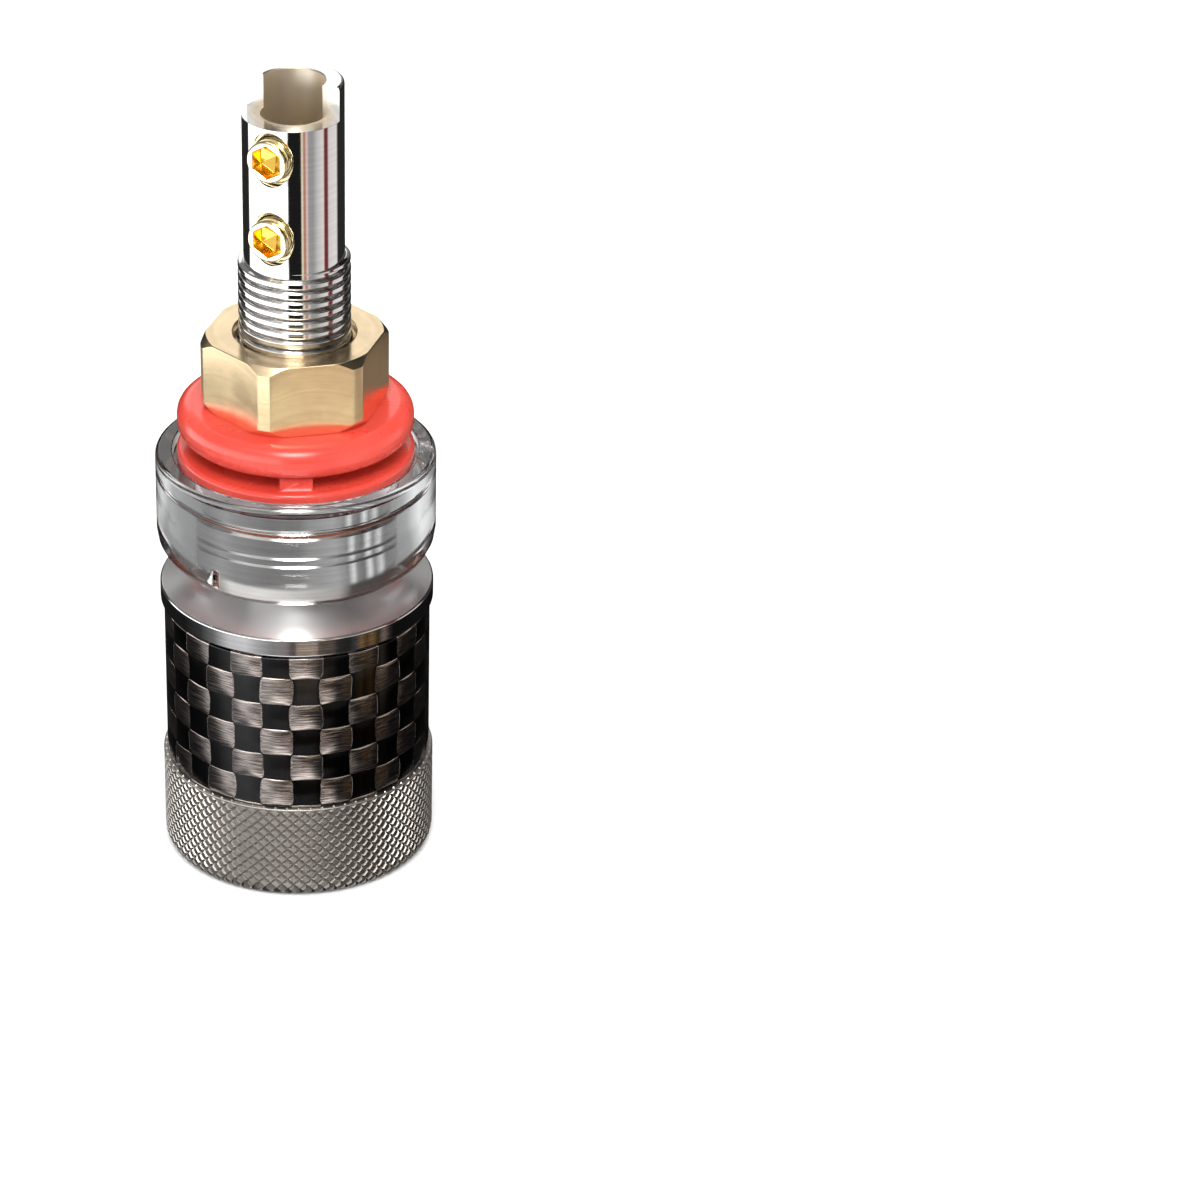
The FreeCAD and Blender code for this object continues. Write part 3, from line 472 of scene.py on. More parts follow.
def knurl_tree():
    """A diamond knurl: blunt pyramids in staggered rows on a cylinder."""
    tree, takes, gives = new_group("diamond_knurl", "GeometryNodeTree", (
        (SHAPE, "Geometry", None), (FLOAT, "Root", 9.7), (FLOAT, "Depth", 0.2),
        (FLOAT, "Top", 0.5), (FLOAT, "Pitch", 0.86), (FLOAT, "Start", 7.0),
        (FLOAT, "Straight", 6.0), (FLOAT, "Rounding", 1.2),
        (WHOLE, "Rows", 16), (WHOLE, "Round", 72), (STUFF, "Material", None),
    ), ((SHAPE, "Geometry"),))
    count = calc(tree, "MULTIPLY", takes["Rows"], takes["Round"])
    points = put(tree, "GeometryNodePoints", {"Count": count}).outputs[0]
    index = put(tree, "GeometryNodeInputIndex").outputs[0]
    row = calc(tree, "FLOOR", calc(tree, "DIVIDE", index, takes["Round"]))
    column = calc(tree, "SUBTRACT", index, calc(tree, "MULTIPLY", row, takes["Round"]))
    shift = calc(tree, "MULTIPLY", calc(tree, "MODULO", row, 2.0), 0.5)
    step = calc(tree, "DIVIDE", TURN, takes["Round"])
    angle = calc(tree, "MULTIPLY", calc(tree, "ADD", column, shift), step)
    half_pitch = calc(tree, "MULTIPLY", takes["Pitch"], 0.5)
    run = calc(tree, "MULTIPLY", row, half_pitch)
    straight = calc(tree, "MINIMUM", run, takes["Straight"])
    bend = calc(tree, "DIVIDE", calc(tree, "SUBTRACT", run, straight), takes["Rounding"])
    drop = calc(tree, "MULTIPLY_ADD", calc(tree, "SINE", bend), takes["Rounding"], straight)
    inward = calc(tree, "MULTIPLY", calc(tree, "SUBTRACT", 1.0, calc(tree, "COSINE", bend)),
                  takes["Rounding"])
    radius = calc(tree, "SUBTRACT", takes["Root"], inward)
    place = put(tree, "ShaderNodeCombineXYZ", {
        0: calc(tree, "MULTIPLY", calc(tree, "COSINE", angle), radius),
        1: calc(tree, "MULTIPLY", calc(tree, "SINE", angle), radius),
        2: calc(tree, "SUBTRACT", takes["Start"], drop),
    }).outputs[0]
    spread = put(tree, "GeometryNodeSetPosition", {0: points, "Position": place}).outputs[0]
    pyramid = put(tree, "GeometryNodeMeshCone", {
        "Vertices": 4, "Radius Top": takes["Top"], "Radius Bottom": 1.0, "Depth": 1.0,
    }, fill_type="NGON").outputs[0]
    half_width = calc(tree, "MULTIPLY", calc(tree, "MULTIPLY", step, 0.5), radius)
    size = put(tree, "ShaderNodeCombineXYZ", {0: half_pitch, 1: half_width, 2: takes["Depth"]})
    lean = calc(tree, "ADD", bend, TURN / 4)
    turn = put(tree, "ShaderNodeCombineXYZ", {1: lean, 2: angle})
    rows = put(tree, "GeometryNodeInstanceOnPoints", {
        "Points": spread, "Instance": pyramid,
        "Rotation": turn.outputs[0], "Scale": size.outputs[0],
    }).outputs[0]
    end_tree(tree, takes, gives, rows)
    return tree


# effects that several finishes share

def turning_marks():
    """Fine rings left by turning, from the distance to the axis and the height."""
    tree, takes, gives = new_group("turning_marks", "ShaderNodeTree", (
        (FLOAT, "Spacing", 0.1), (FLOAT, "Wander", 0.3),
    ), ((FLOAT, "Height"), (FLOAT, "Shade")))
    place = put(tree, "ShaderNodeTexCoord").outputs["Object"]
    parts = put(tree, "ShaderNodeSeparateXYZ", {0: place}).outputs
    across = calc(tree, "SQRT", calc(tree, "ADD", calc(tree, "MULTIPLY", parts[0], parts[0]),
                                     calc(tree, "MULTIPLY", parts[1], parts[1])))
    millimetres = calc(tree, "DIVIDE", calc(tree, "ADD", across, parts[2]), MILLIMETRE)
    drift = put(tree, "ShaderNodeTexNoise", {"Vector": place, "Scale": 260.0, "Detail": 1.0})
    wander = calc(tree, "MULTIPLY", drift.outputs[0], takes["Wander"])
    lines = calc(tree, "ADD", calc(tree, "DIVIDE", millimetres, takes["Spacing"]), wander)
    fine = put(tree, "ShaderNodeTexNoise", {"W": lines, "Scale": 1.0, "Detail": 2.0},
               noise_dimensions="1D").outputs[0]
    broad = put(tree, "ShaderNodeTexNoise", {"W": calc(tree, "MULTIPLY", lines, 0.13),
                                             "Scale": 1.0, "Detail": 1.0},
                noise_dimensions="1D").outputs[0]
    tree.links.new(fine, gives["Height"])
    tree.links.new(calc(tree, "MULTIPLY_ADD", broad, 0.5, calc(tree, "MULTIPLY", fine, 0.5)),
                   gives["Shade"])
    return tree


def handling():
    """The faint cloudiness of a handled surface: its roughness and a mask."""
    tree, takes, gives = new_group("handling", "ShaderNodeTree", (
        (FLOAT, "Scale", 300.0), (FLOAT, "Low", 0.1), (FLOAT, "High", 0.2),
    ), ((FLOAT, "Roughness"), (FLOAT, "Mask")))
    place = put(tree, "ShaderNodeTexCoord").outputs["Object"]
    cloud = put(tree, "ShaderNodeTexNoise", {
        "Vector": place, "Scale": takes["Scale"], "Detail": 4.0, "Roughness": 0.6,
    }).outputs[0]
    mask = ramp(tree, cloud, 0.35, 0.7)
    rise = calc(tree, "SUBTRACT", takes["High"], takes["Low"])
    tree.links.new(calc(tree, "MULTIPLY_ADD", mask, rise, takes["Low"]), gives["Roughness"])
    tree.links.new(mask, gives["Mask"])
    return tree


def use(tree, group, **values):
    """A group placed in a material with its own values; returns its outputs."""
    return put(tree, "ShaderNodeGroup", values, node_tree=group).outputs


def bumps(tree, height, depth, **more):
    """A normal roughened by a height, to a depth in millimetres."""
    inputs = {"Height": height, "Strength": 1.0, "Distance": depth * MILLIMETRE, **more}
    return put(tree, "ShaderNodeBump", inputs).outputs[0]


def new_material(name, **constants):
    """A material's tree and its shader, with the shader's constant values set."""
    material = bpy.data.materials.new(name)
    material.use_nodes = True
    shader = material.node_tree.nodes["Principled BSDF"]
    for socket, value in constants.items():
        shader.inputs[socket.replace("_", " ")].default_value = value
    return material, material.node_tree, shader


MARKS = turning_marks()
HANDLING = handling()


def metal(name, colour, deep, rough, spacing=0.08, relief=0.004, inner=None, drawn=0.0):
    """Turned metal: a colour, a deeper one in its marks, and rings from the lathe.

    inner is the colour and roughness where the piece is marked inside a bore or socket or on a face; on
    the ring's top face that colour is a lighter painted highlight and in the screws' socket a deeper
    painted shade, while the rougher finish is real. drawn is how far the rings draw a reflection out
    across themselves.
    """
    material, tree, shader = new_material(name, Metallic=1.0, Anisotropic=drawn,
                                          Anisotropic_Rotation=0.25)
    if drawn:
        around = put(tree, "ShaderNodeTangent", direction_type="RADIAL", axis="Z").outputs[0]
        tree.links.new(around, shader.inputs["Tangent"])
    marks = use(tree, MARKS, Spacing=spacing, Wander=0.4)
    worn = use(tree, HANDLING, Scale=220.0, Low=rough[0], High=rough[1])
    surface = blend(tree, ramp(tree, marks["Shade"], 0.3, 0.7), deep, colour)
    roughness = worn["Roughness"]
    if inner:
        # the inner colour is a painted highlight on the ring's top face and painted shade in the
        # screws' socket
        inside = put(tree, "ShaderNodeAttribute", attribute_name="inner").outputs["Fac"]
        surface = blend(tree, inside, surface, inner[0])
        roughness = calc(tree, "MAXIMUM", roughness, calc(tree, "MULTIPLY", inside, inner[1]))
    tree.links.new(surface, shader.inputs["Base Color"])
    tree.links.new(roughness, shader.inputs["Roughness"])
    tree.links.new(bumps(tree, marks["Height"], relief), shader.inputs["Normal"])
    return material


def plastic(name, colour, deep, rough, grain=0.003, **constants):
    """Moulded plastic: slight mottling and a very fine orange peel."""
    material, tree, shader = new_material(name, **constants)
    worn = use(tree, HANDLING, Scale=160.0, Low=rough[0], High=rough[1])
    tree.links.new(blend(tree, worn["Mask"], deep, colour), shader.inputs["Base Color"])
    tree.links.new(worn["Roughness"], shader.inputs["Roughness"])
    place = put(tree, "ShaderNodeTexCoord").outputs["Object"]
    peel = put(tree, "ShaderNodeTexNoise", {"Vector": place, "Scale": 2500.0, "Detail": 2.0})
    tree.links.new(bumps(tree, peel.outputs[0], grain), shader.inputs["Normal"])
    return material


def clear_plastic():
    """Clear plastic with faint turned marks, which lets light through to what it holds."""
    material, tree, shader = new_material(
        "clear_plastic", Base_Color=(0.97, 0.98, 0.985, 1), Metallic=0.0,
        Transmission_Weight=1.0, IOR=1.49)
    marks = use(tree, MARKS, Spacing=0.3, Wander=0.5)
    worn = use(tree, HANDLING, Scale=300.0, Low=0.015, High=0.05)
    tree.links.new(worn["Roughness"], shader.inputs["Roughness"])
    tree.links.new(bumps(tree, marks["Height"], 0.003), shader.inputs["Normal"])
    thin = put(tree, "ShaderNodeBsdfTransparent", {0: (0.9, 0.92, 0.93, 1)})
    shadow = put(tree, "ShaderNodeLightPath").outputs["Is Shadow Ray"]
    either = put(tree, "ShaderNodeMixShader", {0: shadow, 1: shader.outputs[0], 2: thin.outputs[0]})
    tree.links.new(either.outputs[0], tree.nodes["Material Output"].inputs["Surface"])
    return material


# the sleeve's weave: tows round it, their width, where they start and how they lie
WEAVE_ROUND = 28
WEAVE_CELL = 2.07
WEAVE_SHIFT = 1.237
WEAVE_LIFT = -0.1
TOW_SWAY = 0.14
TOW_BEND = 2.7
TOW_EDGE = 0.3
TOW_RISE = 0.16
FIBRES = 22.0
FIBRE_STRETCH = 1.2
FIBRE_RISE = 0.014


def weave():
    """A plain weave of flat tows: which tow lies on top, its rise and its fibres."""
    tree, takes, gives = new_group("weave", "ShaderNodeTree", (
        (FLOAT, "Round", WEAVE_ROUND), (FLOAT, "Along", 6.0), (FLOAT, "Shift", 0.0),
        (FLOAT, "Lift", 0.0), (FLOAT, "Spread", 0.2),
    ), ((FLOAT, "Over"), (FLOAT, "Height"), (FLOAT, "Fibre")))
    map_place = put(tree, "ShaderNodeUVMap", uv_map="wrap").outputs[0]
    parts = put(tree, "ShaderNodeSeparateXYZ", {0: map_place}).outputs
    place = put(tree, "ShaderNodeTexCoord").outputs["Object"]
    drift = put(tree, "ShaderNodeTexNoise", {"Vector": place, "Scale": 420.0, "Detail": 1.0})
    sway = calc(tree, "MULTIPLY", calc(tree, "SUBTRACT", drift.outputs[0], 0.5), TOW_SWAY)
    even_across = calc(tree, "MULTIPLY_ADD", parts[0], takes["Round"], takes["Shift"])
    even_up = calc(tree, "MULTIPLY_ADD", parts[1], takes["Along"], takes["Lift"])
    across, up = calc(tree, "ADD", even_across, sway), calc(tree, "ADD", even_up, sway)
    cell_across, cell_up = calc(tree, "FLOOR", across), calc(tree, "FLOOR", up)
    in_across = calc(tree, "SUBTRACT", calc(tree, "FRACT", across), 0.5)
    in_up = calc(tree, "SUBTRACT", calc(tree, "FRACT", up), 0.5)
    phase = calc(tree, "ADD", calc(tree, "ADD", across, cell_up), 1000.0)
    corner = calc(tree, "POWER", calc(tree, "ABSOLUTE", calc(tree, "MULTIPLY", in_up, 2.0)), 5.0)
    limit = calc(tree, "MULTIPLY_ADD", corner, -TOW_EDGE, takes["Spread"])
    wave = calc(tree, "SINE", calc(tree, "MULTIPLY", phase, math.pi))
    parity = ramp(tree, calc(tree, "SUBTRACT", limit, wave), -0.04, 0.04)
    flipped = calc(tree, "SUBTRACT", 1.0, parity)
    half_phase = calc(tree, "FRACT", calc(tree, "MULTIPLY_ADD", phase, 0.5, -0.25))
    in_tow = calc(tree, "MULTIPLY_ADD", half_phase, 2.0, -1.0)
    level_up = calc(tree, "COSINE", calc(tree, "MULTIPLY", in_up, math.pi))
    level = calc(tree, "MULTIPLY", calc(tree, "COSINE", calc(tree, "MULTIPLY", in_tow, TOW_BEND)),
                 calc(tree, "POWER", level_up, TOW_EDGE))
    level_across = calc(tree, "COSINE", calc(tree, "MULTIPLY", in_across, math.pi))
    upright = calc(tree, "MULTIPLY", level_up, calc(tree, "POWER", level_across, TOW_EDGE))
    height = calc(tree, "ADD", calc(tree, "MULTIPLY", level, parity),
                  calc(tree, "MULTIPLY", upright, flipped))
    line = calc(tree, "ADD", calc(tree, "MULTIPLY", up, parity),
                calc(tree, "MULTIPLY", across, flipped))
    stretch = calc(tree, "ADD", calc(tree, "MULTIPLY", across, parity),
                   calc(tree, "MULTIPLY", up, flipped))
    fibre_place = put(tree, "ShaderNodeCombineXYZ", {
        0: calc(tree, "MULTIPLY", line, FIBRES), 1: calc(tree, "MULTIPLY", stretch, FIBRE_STRETCH),
        2: calc(tree, "ADD", cell_across, cell_up),
    }).outputs[0]
    fibre = put(tree, "ShaderNodeTexNoise", {"Vector": fibre_place, "Scale": 1.0, "Detail": 2.0})
    tree.links.new(parity, gives["Over"])
    tree.links.new(height, gives["Height"])
    tree.links.new(fibre.outputs[0], gives["Fibre"])
    return tree


def carbon():
    """Carbon weave under a clear gloss: one fibre, with painted sheen on the level tows and painted
    shade on the upright ones.
    """
    material, tree, shader = new_material("carbon_weave", Metallic=1.0, Coat_Weight=1.0,
                                          Coat_Roughness=0.03)
    _, bottom, top = span("carbon_sleeve")
    cloth = use(tree, weave(), Round=float(WEAVE_ROUND), Along=(top - bottom) / WEAVE_CELL,
                Shift=WEAVE_SHIFT, Lift=WEAVE_LIFT)
    shade = ramp(tree, cloth["Fibre"], 0.25, 0.75)
    # painted sheen and painted shade: the level tows get a light colour for the light they catch and
    # the upright tows get near black for the light they turn away, though both are the same fibre; the
    # fibre noise within each tone is real grain
    bright = blend(tree, shade, (0.2, 0.17, 0.155, 1), (0.9, 0.8, 0.76, 1))
    dark = blend(tree, shade, (0.005, 0.005, 0.006, 1), (0.012, 0.012, 0.014, 1))
    tree.links.new(blend(tree, cloth["Over"], dark, bright), shader.inputs["Base Color"])
    tree.links.new(ramp(tree, cloth["Fibre"], 0.2, 0.8, 0.16, 0.26), shader.inputs["Roughness"])
    rise = bumps(tree, cloth["Height"], TOW_RISE)
    fine = bumps(tree, cloth["Fibre"], FIBRE_RISE, Strength=0.6, Normal=rise)
    tree.links.new(fine, shader.inputs["Normal"])
    return material


FINISHES = {
    "stud_plating": metal("stud_plating", (0.90, 0.89, 0.88, 1), (0.80, 0.79, 0.78, 1), (0.03, 0.08),
                          spacing=0.05, relief=0.0012, inner=((0.95, 0.86, 0.72, 1), 0.4)),
    # ring_steel's inner colour, lighter than the sides, is a painted highlight on the ring's top face;
    # its rougher satin finish is real
    "ring_steel": metal("ring_steel", (0.86, 0.86, 0.87, 1), (0.74, 0.74, 0.76, 1), (0.05, 0.09),
                        spacing=0.05, relief=0.001, drawn=0.9, inner=((0.93, 0.93, 0.94, 1), 0.38)),
    "cap_steel": metal("cap_steel", (0.56, 0.535, 0.51, 1), (0.47, 0.445, 0.42, 1), (0.36, 0.44),
                       spacing=0.05, relief=0.0015),
    "nut_brass": metal("nut_brass", (0.95, 0.76, 0.50, 1), (0.88, 0.69, 0.43, 1), (0.18, 0.28),
                       spacing=0.05, relief=0.001),
    # screw_gold's inner colour, a deeper amber in the hexagon socket, is painted shade and painted warm
    # reflection; the socket's rougher finish is real
    "screw_gold": metal("screw_gold", (1.0, 0.90, 0.62, 1), (1.0, 0.86, 0.52, 1), (0.08, 0.15),
                        spacing=0.06, relief=0.001, inner=((1.0, 0.64, 0.12, 1), 0.15)),
    "core_metal": metal("core_metal", (0.72, 0.72, 0.73, 1), (0.6, 0.6, 0.61, 1), (0.2, 0.3)),
    "bush_brass": metal("bush_brass", (0.8, 0.6, 0.3, 1), (0.7, 0.5, 0.24, 1), (0.2, 0.3)),
    "ratchet_steel": metal("ratchet_steel", (0.5, 0.5, 0.5, 1), (0.38, 0.38, 0.38, 1), (0.3, 0.4)),
    "spring_steel": metal("spring_steel", (0.36, 0.36, 0.38, 1), (0.26, 0.26, 0.28, 1), (0.25, 0.35)),
    "red_plastic": plastic("red_plastic", (0.68, 0.058, 0.04, 1), (0.61, 0.043, 0.031, 1), (0.22, 0.30),
                           Coat_Weight=0.3, Coat_Roughness=0.08, Subsurface_Weight=0.15),
    "insert_plastic": plastic("insert_plastic", (0.03, 0.03, 0.032, 1), (0.022, 0.022, 0.024, 1),
                              (0.45, 0.6), grain=0.01),
    "slip_plastic": plastic("slip_plastic", (0.85, 0.85, 0.82, 1), (0.78, 0.78, 0.74, 1), (0.4, 0.5)),
    "clear_plastic": clear_plastic(),
    "carbon_weave": carbon(),
}


def dress_frame():
    """Give every CAD node its slot's finish, the sealed ones inside the knob among them."""
    for row in frame["record"]["subparts"]:
        node = frame["nodes"][row["node"]]
        material = FINISHES[row["material_slot"]]
        if not node.data.materials:
            node.data.materials.append(material)
        for number in range(len(node.material_slots)):
            node.material_slots[number].material = material


THREAD = thread_tree()
KNURL = knurl_tree()


def terminal_stud():
    """Plug socket, contact flange, threads and wire tube, turned in one piece."""
    _, bottom, top = span("terminal_stud")
    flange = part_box("terminal_stud")[1].x / MILLIMETRE
    half = GROOVE_WIDTH / 2
    corners = [
        (0, PLUG_FLOOR + PLUG_BORE / 2), (PLUG_BORE, PLUG_FLOOR),
        (PLUG_BORE, bottom + PLUG_LEAD), (PLUG_BORE + PLUG_LEAD, bottom),
        (THREAD_ROOT - PLUG_LEAD, bottom), (THREAD_ROOT, bottom + PLUG_LEAD),
        (THREAD_ROOT, CONTACT_FACE), (flange, CONTACT_FACE, 0.15),
    ]
    for groove in FLANGE_GROOVES:
        corners += [(flange, groove - half), (flange - GROOVE_DEPTH, groove),
                    (flange, groove + half)]
    corners += [
        (flange, FLANGE_STEP_BOTTOM), (flange - FLANGE_STEP, FLANGE_STEP_BOTTOM + FLANGE_STEP),
        (flange - FLANGE_STEP, FLANGE_TOP), (THREAD_ROOT, FLANGE_TOP),
        (THREAD_ROOT, top, TUBE_ROUND), (WIRE_BORE, top, TUBE_ROUND / 2),
        (WIRE_BORE, WIRE_FLOOR), (0, WIRE_FLOOR - WIRE_BORE / 2),
    ]
    solid = turned(corners, closed=False)
    for step in range(TUBE_SLICES):
        height = WIRE_FLOOR + (step + 0.5) * SLICE_STEP
        bmesh.ops.bisect_plane(solid, geom=solid.verts[:] + solid.edges[:] + solid.faces[:],
                               plane_co=(0, 0, height), plane_no=(0, 0, 1))
    stud = as_object(solid, "stud")
    reach = THREAD_ROOT * 2
    cut(stud, [block((-reach, -reach, top - HALF_CUT), (reach, 0, top + OVERSHOOT), -SCREW_AZIMUTH)])
    bevel = stud.modifiers.new("edges", "BEVEL")
    bevel.width = EDGE_BEVEL
    bevel.segments = 3
    bevel.limit_method = "ANGLE"
    bevel.angle_limit = BEVEL_CREASE
    settle(stud)
    tools = []
    for height in SCREW_HEIGHTS:
        axis = Vector((0, 0, height))
        sink = axis + SCREW_AIM * (THREAD_ROOT - SCREW_SINK)
        tools.append(drill(SCREW_HOLE, reach, axis, SCREW_AIM))
        tools.append(drill(SCREW_HOLE, SCREW_SINK * 2, sink, SCREW_AIM, SCREW_SINK * 2))
    cut(stud, tools)
    steel = FINISHES["stud_plating"]
    runs = ((FLANGE_TOP, THREAD_TOP + THREAD_RUN_OUT), (bottom + FRONT_THREAD_START, CONTACT_FACE))
    for start, stop in runs:
        grow(stud, THREAD, Root=THREAD_ROOT, Pitch=THREAD_PITCH, Depth=THREAD_DEPTH, Bottom=start,
             Turns=(stop - start) / THREAD_PITCH, Material=steel)
    for polygon in stud.data.polygons:
        polygon.use_smooth = True
    crisp(stud)
    mark_inner(stud, lambda place: place.z > WIRE_FLOOR - 2 and place.xy.length < WIRE_BORE + 0.05)
    finished(stud, "terminal_stud", "post", steel)


def knurled_cap():
    """The knob's front cap, with a diamond knurl between its rounding and its rim."""
    radius, bottom, top = span("knurled_cap")
    skirt = span("carbon_sleeve")[0] - SLEEVE_WALL
    root = radius - KNURL_DEPTH
    shoulder = INSERT_SEAT - INSERT_LIP
    rounding = FACE_ROUND - KNURL_DEPTH
    face_edge = [polar(FACE_ROUND, -math.radians(degrees), 0) for degrees in FACE_ARC]
    face_edge += [polar(rounding, -math.radians(degrees), 0) for degrees in ROOT_ARC]
    cap = as_object(turned([
        (INSERT_SEAT, bottom, 0.15),
        *[(radius - FACE_ROUND + place.x, bottom + FACE_ROUND + place.y) for place in face_edge],
        (root, top - CAP_RIM - KNURL_DEPTH, 0.05), (radius, top - CAP_RIM, 0.05),
        (radius, top, 0.12), (skirt, top), (skirt, CAP_WALL), (shoulder, CAP_WALL),
        (shoulder, INSERT_DEPTH), (INSERT_SEAT, INSERT_DEPTH),
    ], around=KNURL_COUNT * 2), "cap")
    start = top - CAP_RIM - KNURL_DEPTH
    straight = start - bottom - FACE_ROUND
    rows = int((straight + rounding * KNURL_BEND) / (KNURL_PITCH / 2)) + 1
    grow(cap, KNURL, Root=root, Depth=KNURL_DEPTH, Top=KNURL_TOP, Pitch=KNURL_PITCH, Start=start,
         Straight=straight, Rounding=rounding, Rows=rows, Round=KNURL_COUNT,
         Material=FINISHES["cap_steel"])
    cap.data.set_sharp_from_angle(angle=CREASE)
    finished(cap, "knurled_cap", "knob", FINISHES["cap_steel"])


def socket_insert():
    """The black disc with the lobed hole for the banana plug."""
    radius, bottom, top = span("socket_insert")

    def hole(angle):
        """The hole's edge at an angle: the outermost of the round hole and the lobes."""
        nearest = (angle + TURN / LOBES / 2) % (TURN / LOBES) - TURN / LOBES / 2
        side = LOBE_CIRCLE * math.sin(nearest)
        lobe = LOBE_CIRCLE * math.cos(nearest) + math.sqrt(max(LOBE_RADIUS ** 2 - side ** 2, 0))
        return max(INSERT_HOLE, lobe)

    def section_at(angle):
        """The disc's section at an angle."""
        edge = hole(angle - TURN / 4)
        return section([(edge, bottom, 0.12), (radius, bottom, 0.12), (radius, top), (edge, top)])

    insert = as_object(swept(section_at, even_angles(LOBES * 32)), "insert")
    finished(insert, "socket_insert", "knob", FINISHES["insert_plastic"])


def wrap(mesh, bottom, top):
    """A map that runs once round a piece and from its bottom to its top."""
    layer = mesh.uv_layers.new(name="wrap")
    for polygon in mesh.polygons:
        middle = math.atan2(polygon.center.y, polygon.center.x)
        for loop in polygon.loop_indices:
            place = mesh.vertices[mesh.loops[loop].vertex_index].co
            angle = math.atan2(place.y, place.x)
            angle += TURN * round((middle - angle) / TURN)
            layer.data[loop].uv = (angle / TURN, (place.z - bottom) / (top - bottom))


def carbon_sleeve():
    """The woven carbon tube."""
    radius, bottom, top = span("carbon_sleeve")
    inner = radius - SLEEVE_WALL
    sleeve = as_object(turned([
        (inner, bottom), (radius, bottom, 0.1), (radius, top, 0.1), (inner, top),
    ]), "sleeve")
    wrap(sleeve.data, bottom, top)
    finished(sleeve, "carbon_sleeve", "knob", FINISHES["carbon_weave"])


def pressure_ring():
    """The bright ring under the clear collar, with its hub in the knob."""
    radius, bottom, top = span("pressure_ring")
    plate = top - RING_THICKNESS
    ring = as_object(turned([
        (RING_BORE, bottom), (HUB_RADIUS, bottom), (HUB_RADIUS, plate), (radius, plate, 0.12),
        (radius, top, 0.15), (RING_BORE, top, 0.15),
    ]), "ring")
    # the top face gets a rougher satin finish and a lighter colour that is a painted highlight
    mark_inner(ring, lambda place: place.z > top - 0.01 and place.xy.length < radius - 0.12)
    finished(ring, "pressure_ring", "clamp_ring", FINISHES["ring_steel"])


def clear_collar():
    """The clear collar round the contact flange."""
    radius, bottom, top = span("clear_collar")
    step = FLANGE_STEP_BOTTOM + FLANGE_STEP
    collar = as_object(turned([
        (COLLAR_BORE, bottom, 0.1), (radius, bottom, COLLAR_ROUND), (radius, top, 0.35),
        (RECESS_RADIUS, top, 0.12), (RECESS_RADIUS, RECESS_FLOOR), (COLLAR_HOLE, RECESS_FLOOR),
        (COLLAR_HOLE, COLLAR_WEB_BOTTOM), (COLLAR_STEP_BORE, COLLAR_WEB_BOTTOM),
        (COLLAR_STEP_BORE, step), (COLLAR_BORE, step),
    ], around=AROUND * 2), "collar")
    marks = []
    for turn in (0, math.pi):
        place = polar(MARK_CIRCLE, -TURN / 4 - MARK_AZIMUTH + turn, bottom - OVERSHOOT)
        marks.append(drill(MARK_RADIUS, MARK_DEPTH + OVERSHOOT, place, (0, 0, 1)))
    cut(collar, marks)
    finished(collar, "clear_collar", "post", FINISHES["clear_plastic"])


def front_insulator():
    """The red insulator in the collar's recess, with its neck and key."""
    radius, bottom, top = span("front_insulator")
    insulator = as_object(turned([
        (COLLAR_HOLE, bottom), (radius, bottom), (radius, INSULATOR_TOP, 0.3),
        (NECK_RADIUS, INSULATOR_TOP), (NECK_RADIUS, top, 0.15), (COLLAR_HOLE, top),
    ]), "insulator")
    key = block((-KEY_WIDTH / 2, -KEY_REACH, INSULATOR_TOP - 0.1),
                (KEY_WIDTH / 2, -NECK_RADIUS + 0.3, KEY_TOP), 0.0)
    cut(insulator, [key], "UNION")
    finished(insulator, "front_insulator", "post", FINISHES["red_plastic"])


def rear_washer():
    """The red washer behind the panel."""
    radius, bottom, top = span("rear_washer")
    recess, floor = NECK_RADIUS + NECK_PLAY, bottom + WASHER_RECESS
    washer = as_object(turned([
        (recess, bottom), (radius, bottom, WASHER_ROUND), (radius, top, WASHER_ROUND),
        (WASHER_BORE, top), (WASHER_BORE, floor), (recess, floor),
    ]), "washer")
    finished(washer, "rear_washer", "washer", FINISHES["red_plastic"])


def nut_angles():
    """Angles round the nut, closest where a flat meets a turned corner."""
    meeting = math.acos(NUT_FLAT / NUT_CORNER)
    side = TURN / 6
    fine = [meeting + math.radians(step) for step in (-2, -1.2, -0.7, -0.35, 0, 0.35, 0.7, 1.2, 2)]
    half = [math.radians(step * 2) for step in range(12)] + fine + [side / 2]
    around = sorted(set([-angle for angle in half[1:-1]] + half))
    return [NUT_TURN + side * number + angle for number in range(6) for angle in around]


def panel_nut():
    """The brass nut: six flats milled on a turned blank."""
    _, bottom, top = span("panel_nut")
    slope = NUT_DROP / (NUT_CORNER - NUT_FACE)

    def section_at(angle):
        """The nut's section at an angle: the nearer of its flat and its turned corner."""
        local = (angle - NUT_TURN + TURN / 12) % (TURN / 6) - TURN / 12
        flat = NUT_FLAT / math.cos(local)
        gap = (flat - NUT_CORNER) / NUT_SOFT
        softened = NUT_SOFT * math.log1p(math.exp(-abs(gap)))
        side = min(flat, NUT_CORNER) - softened
        drop = max((side - NUT_FACE) * slope, 0.05)
        face = min(side - 0.04, NUT_FACE)
        return section([
            (NUT_BORE, bottom + NUT_SINK), (NUT_BORE + NUT_SINK, bottom), (face, bottom, 0.04),
            (side, bottom + drop, 0.04), (side, top - drop, 0.04), (face, top, 0.04),
            (NUT_BORE + NUT_SINK, top), (NUT_BORE, top - NUT_SINK),
        ])

    turned_front = TURN / 4
    angles = [angle - turned_front for angle in nut_angles()]
    nut = as_object(swept(lambda angle: section_at(angle + turned_front), angles), "nut")
    finished(nut, "panel_nut", "nut", FINISHES["nut_brass"])


